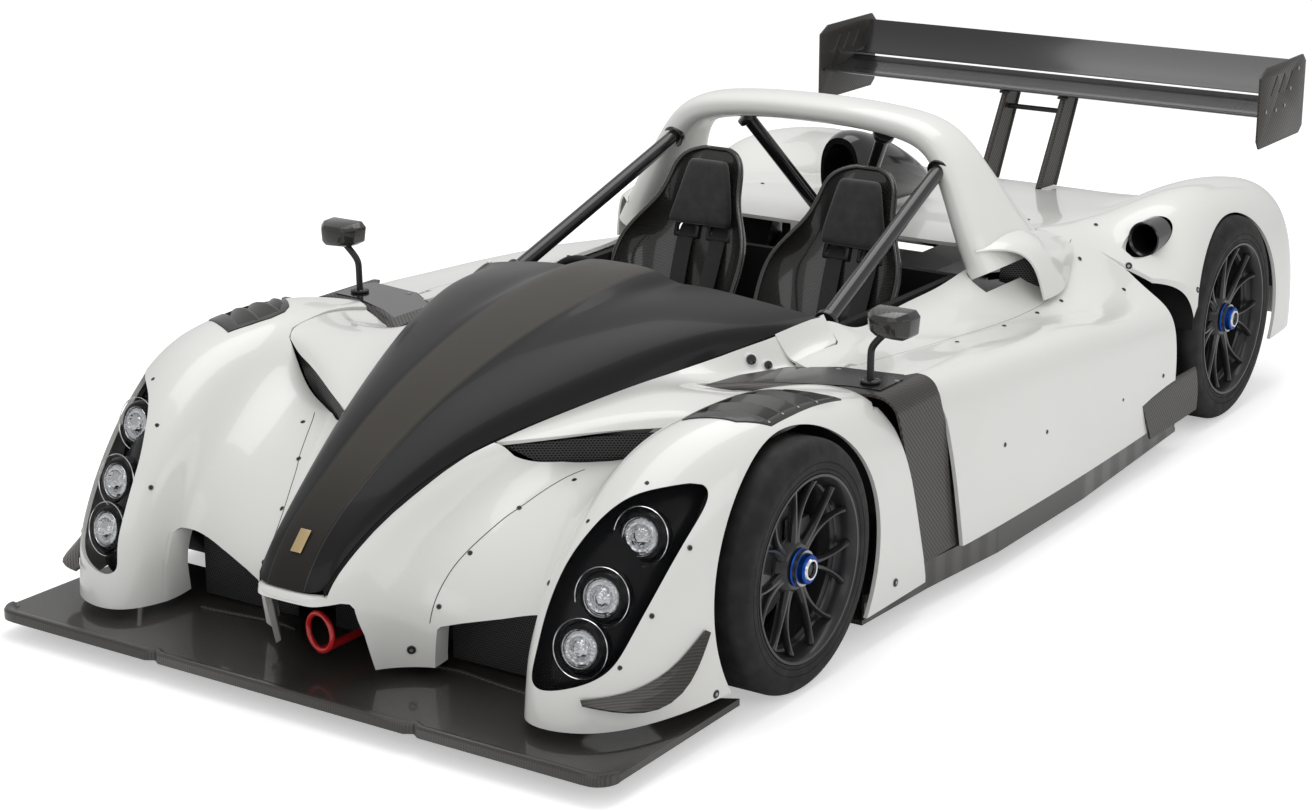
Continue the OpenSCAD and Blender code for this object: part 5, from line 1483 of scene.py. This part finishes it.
class TrackCarFasteners(bpy.types.Operator):
    """Small fasteners along the panels' edges"""

    bl_idname = "track_car.fasteners"
    bl_label = "Fasteners"

    def execute(self, context):
        small = [
            ((250, -499, 226), (0.43, -0.86, 0.28)), ((268, -409, 325), (0.34, -0.65, 0.69)),
            ((315, -292, 404), (0.07, -0.49, 0.87)), ((389, -188, 453), (-0.05, -0.28, 0.96)),
            ((696, -360, 549), (0.27, -0.58, 0.77)), ((797, -261, 537), (0.79, -0.35, 0.5)),
            ((607, -446, 474), (-0.26, -0.61, 0.75)), ((806, -366, 431), (0.92, -0.32, 0.22)),
            ((560, -524, 353), (-0.63, -0.58, 0.52)), ((786, -478, 313), (0.8, -0.53, 0.27)),
            ((759, -554, 219), (0.82, -0.55, 0.16)),
            ((434, 1945, 636), (0, 0.06, 1)), ((585, 2067, 618), (0.29, -0.14, 0.95)),
            ((637, 1856, 570), (0.67, -0.07, 0.74)), ((692, 1629, 508), (0.4, -0.05, 0.92)),
            ((689, 1490, 505), (0.17, 0.03, 0.99)), ((685, 1305, 511), (0.03, 0.06, 1)),
            ((692, 1030, 532), (-0.02, 0.08, 1)), ((749, 1906, 488), (0.54, -0.04, 0.84)),
            ((889, 1153, 300), (1, 0, 0)), ((887, 922, 327), (1, 0, 0)),
            ((885, 1623, 266), (1, 0, 0)), ((878, 1905, 263), (1, 0, 0))]
        fasteners("small_fasteners", small)
        large = [
            ((200, -535, 127), (0.6, -0.79, -0.13)), ((842, -319, 98), (0.99, -0.13, -0.03)),
            ((877, 398, 131), (1, 0, 0.01)), ((716, 2006, 529), (0.46, -0.89, 0)),
            ((850, 2182, 442), (0.97, -0.12, 0.2))]
        fasteners("quarter_turns", large, 0.0085, "black")
        sockets = []
        for place, facing in large:
            centre, facing = Vector(car(place)), Vector(facing).normalized()
            sockets.append(disc("socket", centre + facing * 0.0005, facing, 0.0045, 0.002, 6))
        done(both(join("quarter_turn_sockets", *sockets)), finish("steel"))
        self.tow_ring()
        return {"FINISHED"}

    def tow_ring(self):
        """Round towing eye on its flat bar"""
        ring = []
        for a in np.linspace(0, 2 * math.pi, 97):
            ring.append([((42 + 6.5 * math.cos(b)) * math.cos(a), 6.5 * math.sin(b),
                          (42 + 6.5 * math.cos(b)) * math.sin(a))
                         for b in np.linspace(0, 2 * math.pi, 20, endpoint=False)])
        eye = loft("tow_ring", np.array(ring) * MM, ends=False)
        eye.data.transform(Matrix.Translation(Vector(car((0, -600, 147))))
                           @ Matrix.Rotation(math.radians(-12), 4, "Z"))
        bar = slab("bar", (0.018, 0.27, 0.011), car((0, -468, 103)), soft=0.002)
        red = satin_black("red_enamel", (0.50, 0.010, 0.012), 0.22, 0.3, coat=0.8)
        done(join("tow_eye_round", eye, bar), red, stands_for=("tow_eye",))


class TrackCarCockpit(bpy.types.Operator):
    """Seats, pads, belts, roll cage stays and steering wheel"""

    bl_idname = "track_car.cockpit"
    bl_label = "Cockpit"

    def execute(self, context):
        rows = []
        # the head of the shell is rounder than the CAD solid's
        seat = SEAT_ROWS[:-2] + [[1361, 780, 112, 42], [1373, 822, 95, 30], [1380, 845, 68, 16],
                                 [1383, 856, 34, 5]]
        for i, (y, z, half, wing) in enumerate(seat):
            a, b = seat[max(i - 1, 0)], seat[min(i + 1, len(seat) - 1)]
            along = np.array([0, b[0] - a[0], b[1] - a[1]])
            face = np.cross([1, 0, 0], along) / np.linalg.norm(along)
            rows.append([np.array([u * half * 202 / 205, y, z]) + face * wing * abs(u) ** 4
                         for u in (-1, -0.92, -0.7, -0.35, 0, 0.35, 0.7, 0.92, 1)])
        points = car(np.asarray(surface(rows, 80, 60)) + (236, 0, 0))
        shell = wall("seat_shells", points, 0.009)
        slots, frames = [], []
        for x in (-52, 52):
            slots.append(slab("slot", (0.062, 0.30, 0.030), car((236 + x, 1345, 640)), soft=0.012))
            frame = slab("slot_frame", (0.080, 0.012, 0.050), car((236 + x, 1311, 641)),
                         (math.radians(-18), 0, 0), 0.005)
            cut(frame, slab("hole", (0.060, 0.10, 0.028), car((236 + x, 1311, 641)), soft=0.008))
            frames.append(frame)
        cut(shell, *slots)
        done(both(shell), finish("carbon_seat"), stands_for=("seats",))
        done(both(join("slot_frames", *frames)), finish("black"))
        # the shell's edge is rolled over from the cushion up round the head
        border = np.concatenate([points[22:, 0], points[-1, 1:-1], points[:21:-1, -1]])
        border = smooth(border[::4], 160)
        done(both(tube("seat_borders", border, 0.0065, 12)), finish("carbon_seat"))
        self.pads()
        self.belts()
        self.stays()
        self.wheel()
        return {"FINISHED"}

    def pads(self):
        fabric = Finish("pad_fabric", (0.014, 0.014, 0.015), 0.85, sheen_weight=0.3)
        x, _, z = fabric.coordinates()
        weave = ((x * 2600).sine() * (z * 2600).sine())
        fabric.relief(weave, 0.0003, 0.5)
        fabric.color(fabric.blend(fabric.noise(40.0, 3).between(0.3, 0.8), (0.012, 0.012, 0.013),
                                  (0.03, 0.03, 0.031)))
        pads = []
        for outline, place, lean, thick in (
                ([(-84, -92), (84, -92), (94, -70), (62, 66), (44, 84), (-44, 84), (-62, 66),
                  (-94, -70)], (236, 1333, 746), -14, 32),
                ([(-120, -110), (120, -110), (150, 60), (140, 120), (-140, 120), (-150, 60)],
                 (236, 925, 182), -84, 34)):
            points = smooth(outline + [outline[0]], 48)[:-1]
            rings = []
            for depth, scale in ((0, 0.90), (6, 0.985), (14, 1.0), (22, 0.985), (28, 0.94),
                                 (31, 0.86), (32, 0.6), (32.5, 0.3)):
                rings.append([(u * scale, -depth * thick / 32, v * scale) for u, v in points])
            pad = loft("pad", np.asarray(rings) * MM)
            pad.data.transform(Matrix.Translation(Vector(car(place)))
                               @ Matrix.Rotation(math.radians(lean), 4, "X"))
            modify(pad, "SUBSURF", levels=1, render_levels=1)
            pads.append(both(pad))
        cushion = done(join("seat_pads_soft", *pads), fabric.material,
                       stands_for=("seat_pads",), angle=60)

    def belts(self):
        web = Finish("belt_webbing", (0.012, 0.012, 0.013), 0.75, sheen_weight=0.25)
        x, _, z = web.coordinates()
        web.relief((x * 4200).sine() + (z * 1500).sine() * 0.5, 0.0002, 0.5)
        straps, metalwork = [], []
        for x in (-52, 52):
            path = [(236 + x, 1352, 648), (236 + x, 1322, 650), (236 + x, 1290, 600),
                    (236 + x * 0.9, 1240, 480), (236 + x * 0.7, 1180, 360), (236 + x * 0.3, 1105, 265)]
            line = smooth(path, 40)
            rows = [[p + (-24, 0, 0), p + (-8, -1.5, 0.5), p + (8, -1.5, 0.5), p + (24, 0, 0)]
                    for p in line]
            strap = wall("strap", car(np.asarray(rows)[::-1]), 0.003)
            straps.append(strap)
            metalwork.append(slab("slider", (0.056, 0.006, 0.034), car((236 + x * 0.85, 1212, 425)),
                                  (math.radians(-28), 0, 0), 0.002))
        piece = both(join("harness_straps", *straps))
        done(piece, web.material, stands_for=("harnesses",), angle=60)
        buckle = disc("buckle", car((236, 1092, 262)), (0, -0.8, 0.6), 0.030, 0.018, 32, 0.004)
        done(both(join("harness_metal", buckle, *metalwork)), finish("gloss"))

    def stays(self):
        tubes, flanges = [], []
        runs = [((414, 1442, 865), (470, 760, 610), 0.020), ((215, 1500, 930), (60, 1640, 660), 0.019)]
        for start, end, radius in runs:
            start, end = Vector(car(start)), Vector(car(end))
            way = (end - start).normalized()
            tubes.append(rod("tube", start, end, radius, 40))
            flanges.append(rod("flange", start - way * 0.004, start + way * 0.012, radius + 0.011,
                               40, 0.002))
            flanges.append(rod("flange", end - way * 0.012, end + way * 0.002, radius + 0.010,
                               40, 0.002))
        piece = both(join("cage_tubes", *tubes, *flanges))
        done(piece, finish("gloss"), stands_for=("stays",))

    def wheel(self):
        centre = Vector(car((-236, 800, 560)))
        turn = Matrix.Translation(centre) @ Matrix.Rotation(math.radians(117), 4, "X")
        rings = []
        for a in np.linspace(0, 2 * math.pi, 64, endpoint=False):
            flat = 1.0 if math.sin(a) > -0.75 else 0.75 / abs(math.sin(a))
            r = 0.126 * flat
            rings.append([((r + 0.0135 * math.cos(b)) * math.cos(a),
                           (r + 0.0135 * math.cos(b)) * math.sin(a), 0.012 * math.sin(b))
                          for b in np.linspace(0, 2 * math.pi, 20, endpoint=False)])
        rings.append(rings[0])
        grip = loft("grip", rings, ends=False)
        hub = lathe("wheel_hub", [(0.001, -0.007), (0.034, -0.007), (0.036, 0.0), (0.030, 0.012),
                                  (0.001, 0.014)], 48, (0, 0, 0))
        hub.data.transform(Matrix.Rotation(math.radians(90), 4, "Y"))
        spokes = [slab("spoke", (0.10, 0.024, 0.006), (0.075 * math.cos(a), 0.075 * math.sin(a), 0),
                       (0, 0, a), 0.002) for a in (-math.pi / 2, math.pi / 6, math.pi * 5 / 6)]
        column = rod("column", (0, 0, 0), (0, 0, 0.60), 0.012, 24)
        piece = join("steering_wheel_rim", grip, hub, column, *spokes)
        piece.data.transform(turn)
        done(piece, finish("matte"), "steering_wheel", ("steering_wheel",))


class TrackCarHoopDetails(bpy.types.Operator):
    """Airbox with its throat, vent panel behind the hoop and the two oval ducts"""

    bl_idname = "track_car.hoop_details"
    bl_label = "Hoop details"

    def execute(self, context):
        half = hoop_rings(60, 0, 64)
        full = np.concatenate([half, half[-2::-1] * (-1, 1, 1)])
        rows = [[tuple(np.array(p) + (0, 0, 1.0)) for p in full[i][13:20]]
                for i in range(len(full))]
        vent = [r for r in rows if abs(r[3][0]) < 235 and r[3][2] > 900]
        vent = np.asarray(vent)[:, ::-1]
        if vent[0][0][1] > vent[-1][0][1]:
            vent = vent[::-1]
        panel = sheet("hoop_vent", car(vent))
        modify(panel, "SOLIDIFY", thickness=0.003, offset=0)
        edit(panel, bpy.ops.mesh.normals_make_consistent, inside=False)
        done(panel, finish("mesh_flat"))
        rings = []
        for y, w, h, z in smooth([(1640, 60, 95, 775), (1700, 80, 110, 772), (1800, 92, 100, 755),
                                  (1920, 90, 78, 725), (2040, 70, 45, 690), (2090, 40, 20, 668)], 50):
            rings.append([(w * math.copysign(abs(math.cos(a)) ** 0.85, math.cos(a)), y,
                           z + h * math.copysign(abs(math.sin(a)) ** 0.85, math.sin(a)))
                          for a in np.linspace(0, 2 * math.pi, 64, endpoint=False)])
        box = loft("airbox_shell", car(rings))
        throat = []
        for y, scale in ((1600, 0.84), (1668, 0.80), (1760, 0.70)):
            throat.append([(60 * scale * 1.02 * math.cos(a), y, 776 + 95 * scale * math.sin(a))
                           for a in np.linspace(0, 2 * math.pi, 48, endpoint=False)])
        cut(box, loft("throat", car(throat)))
        done(box, finish("gloss"), stands_for=("airbox",))
        rings = []
        for r0, r1 in ((46, 0), (43, -3), (38, 4), (36, 60), (36, 88)):
            rings.append([(720 + r0 * math.cos(a), 2090 + r1, 588 + r0 * 1.08 * math.sin(a))
                          for a in np.linspace(0, 2 * math.pi, 56, endpoint=False)])
        outer = [[(720 + 46 * math.cos(a), y, 588 + 46 * 1.08 * math.sin(a))
                  for a in np.linspace(0, 2 * math.pi, 56, endpoint=False)] for y in (2178, 2092)]
        duct = loft("oval_duct_tubes", car(outer + rings))
        done(both(duct), finish("gloss"), stands_for=("oval_ducts",))
        return {"FINISHED"}


class TrackCarWing(bpy.types.Operator):
    """Two-element rear wing, its endplates and its supports"""

    bl_idname = "track_car.wing"
    bl_label = "Rear wing"

    def foil(self, name, chord, thick, camber, place, tilt, half):
        t = (np.linspace(0, 1, 33)) ** 2
        depth = thick * (1.4 * np.sqrt(t) - 0.6 * t - 0.8 * t * t)
        line = -camber * 4 * t * (1 - t)
        top = list(zip(chord * t, depth / 2 + line))
        low = list(zip(chord * t, -depth / 2 + line - 1.5))[:0:-1]
        c, s = math.cos(math.radians(tilt)), math.sin(math.radians(tilt))
        outline = [(place[0] + a * c - b * s, place[1] + a * s + b * c) for a, b in top + low]
        return profile(name, outline, (-half, half))

    def execute(self, context):
        main = self.foil("wing_blade", 215, 26, 14, (2832, 820), 6, 748)
        done(main, finish("gloss"), stands_for=("wing_main",), angle=25)
        flap = self.foil("flap_blade", 150, 16, 10, (3032, 852), 38, 748)
        done(flap, finish("gloss"), stands_for=("wing_flap",), angle=25)
        plate = [(2817, 745), (2837, 720), (3157, 720), (3183, 740), (3183, 940), (3157, 963),
                 (2867, 960), (2817, 935)]
        end = profile("wing_endplates", plate, (748.2, 754.2))
        for k in range(3):
            cy = 2900 + 62 * k
            slot = [(cy, 872), (cy + 8, 868), (cy + 52, 922), (cy + 46, 928)]
            cut(end, profile("slot", slot, (700, 800)))
        modify(end, "BEVEL", width=0.0015, segments=2, limit_method="ANGLE", angle_limit=0.6)
        done(both(end), finish("carbon_side"), stands_for=("endplates",))
        bolts = []
        for y, z in ((2870, 828), (2950, 822), (3020, 826), (3060, 872), (3120, 925)):
            bolts.append(disc("bolt", car((754, y, z)), (1, 0, 0), 0.006, 0.003, 6))
        done(both(join("wing_bolts", *bolts)), finish("steel"))
        line = [(2707, 546), (2817, 541), (2954, 802), (2857, 798)]
        support = profile("wing_uprights", line, (95, 105))
        ribs = []
        for side in (0, 1):
            a, b = (line[0], line[3]) if side == 0 else (line[1], line[2])
            ribs.append(rod("rib", car((100, a[0], a[1])), car((100, b[0], b[1])), 0.010, 20))
        done(both(join("wing_supports_ribbed", support, *ribs)), finish("carbon_side"),
             stands_for=("wing_supports",))
        cross = rod("cross_rod", car((-100, 2880, 760)), car((100, 2880, 760)), 0.008, 20)
        brackets = [both(slab("bracket", (0.034, 0.10, 0.008), car((100, 2900, 811)),
                              (math.radians(6), 0, 0)))]
        done(join("wing_brackets", cross, *brackets), finish("black"))
        return {"FINISHED"}


class TrackCarFinishes(bpy.types.Operator):
    """Finishes of the parts that come straight from the frame"""

    bl_idname = "track_car.finishes"
    bl_label = "Finishes"

    def execute(self, context):
        plain = {
            "carbon": "floor_pan sills diffuser",
            "carbon_side": "dive_planes",
            "black": "dashboard",
            "matte": "front_wishbones rear_wishbones tub",
            "white": "tail_panel",
            "steel": "engine steering_rack rack_housing rear_uprights front_upright_left "
                     "front_upright_right front_hub_left front_hub_right rear_hub_left rear_hub_right",
        }
        for material, nodes in plain.items():
            for node in nodes.split():
                cad(node, material)
        red = satin_black("red_paint", (0.45, 0.012, 0.01), 0.35, coat=0.4)
        for node in ("tail_lights",):
            slots = frame["nodes"][node].data.materials
            slots.clear()
            slots.append(red)
        return {"FINISHED"}


class TrackCarStage(bpy.types.Operator):
    """Camera, lamps, world and the pale floor"""

    bl_idname = "track_car.stage"
    bl_label = "Stage"

    def execute(self, context):
        deselect()
        azimuth, elevation = math.radians(33.58), math.radians(16.81)
        back = Vector((math.sin(azimuth) * math.cos(elevation),
                       -math.cos(azimuth) * math.cos(elevation), math.sin(elevation)))
        bpy.ops.object.camera_add(location=(3.649, -5.9915, 2.321),
                                  rotation=(-back).to_track_quat("-Z", "Y").to_euler())
        camera = bpy.context.object
        camera.data.lens = 74.22
        camera.data.sensor_width = 36
        camera.data.clip_end = 100
        context.scene.camera = camera

        bpy.ops.mesh.primitive_plane_add(size=60, location=(0, 0, 0))
        floor = called("studio_floor")
        ground = Finish("studio_floor", (0.93, 0.93, 0.93), 0.9, emission_strength=0.42)
        ground.put(ground.shader, "Emission Color",
                   ground.node("ShaderNodeLightPath").outputs["Is Camera Ray"])
        floor.data.materials.append(ground.material)

        world = bpy.data.worlds.new("studio")
        context.scene.world = world
        world.use_nodes = True
        tree = world.node_tree
        tree.nodes.clear()
        out = tree.nodes.new("ShaderNodeOutputWorld")
        light = tree.nodes.new("ShaderNodeBackground")
        light.inputs[0].default_value = (1, 1, 1, 1)
        light.inputs[1].default_value = 0.62
        shown = tree.nodes.new("ShaderNodeBackground")
        shown.inputs[0].default_value = (1, 1, 1, 1)
        shown.inputs[1].default_value = 1.0
        path = tree.nodes.new("ShaderNodeLightPath")
        most = tree.nodes.new("ShaderNodeMath")
        most.operation = "MAXIMUM"
        mix = tree.nodes.new("ShaderNodeMixShader")
        tree.links.new(path.outputs["Is Camera Ray"], most.inputs[0])
        tree.links.new(path.outputs["Is Transmission Ray"], most.inputs[1])
        tree.links.new(most.outputs[0], mix.inputs[0])
        tree.links.new(light.outputs[0], mix.inputs[1])
        tree.links.new(shown.outputs[0], mix.inputs[2])
        tree.links.new(mix.outputs[0], out.inputs[0])

        def softbox(name, place, aim, size, power):
            bpy.ops.object.light_add(type="AREA", location=place)
            lamp = bpy.context.object
            lamp.name = name
            lamp.data.shape = "RECTANGLE"
            lamp.data.size, lamp.data.size_y = size
            lamp.data.energy = power
            way = Vector(aim) - Vector(place)
            lamp.rotation_euler = way.to_track_quat("-Z", "Y").to_euler()

        softbox("overhead", (0, 0.4, 4.6), (0, 0.2, 0), (3.4, 5.6), 120)
        softbox("nose", (1.2, -6.0, 3.2), (0, -1, 0.4), (5, 2.4), 30)
        softbox("side", (6.0, -0.5, 2.6), (0, 0, 0.4), (5, 2), 34)
        context.scene.view_settings.view_transform = "Standard"
        return {"FINISHED"}


PIECES = (
    TrackCarFrontBody, TrackCarBonnet, TrackCarHeadlights, TrackCarLouvres, TrackCarMiddleBody,
    TrackCarVanes, TrackCarRearBody, TrackCarSplitter, TrackCarSideDetails, TrackCarMirrors,
    TrackCarFasteners, TrackCarHoopDetails, TrackCarWing, TrackCarCockpit, TrackCarWheels,
    TrackCarFinishes, TrackCarStage,
)


class TrackCarPanel(bpy.types.Panel):
    bl_idname = "VIEW3D_PT_track_car"
    bl_label = "Track car"
    bl_space_type = "VIEW_3D"
    bl_region_type = "UI"
    bl_category = "Track car"

    def draw(self, context):
        for name in ("panel", "weave", "paint_color", "nut_color"):
            self.layout.prop(context.scene.track_car, name)
        for piece in PIECES:
            self.layout.operator(piece.bl_idname)


CLASSES = (TrackCarSizes, *PIECES, TrackCarPanel)


def register():
    for item in CLASSES:
        bpy.utils.register_class(item)
    bpy.types.Scene.track_car = bpy.props.PointerProperty(type=TrackCarSizes)


def unregister():
    del bpy.types.Scene.track_car
    for item in reversed(CLASSES):
        bpy.utils.unregister_class(item)


def main():
    import json
    register()
    for piece in PIECES:
        group, name = piece.bl_idname.split(".")
        getattr(getattr(bpy.ops, group), name)()
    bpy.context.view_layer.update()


if __name__ == "__main__":
    main()
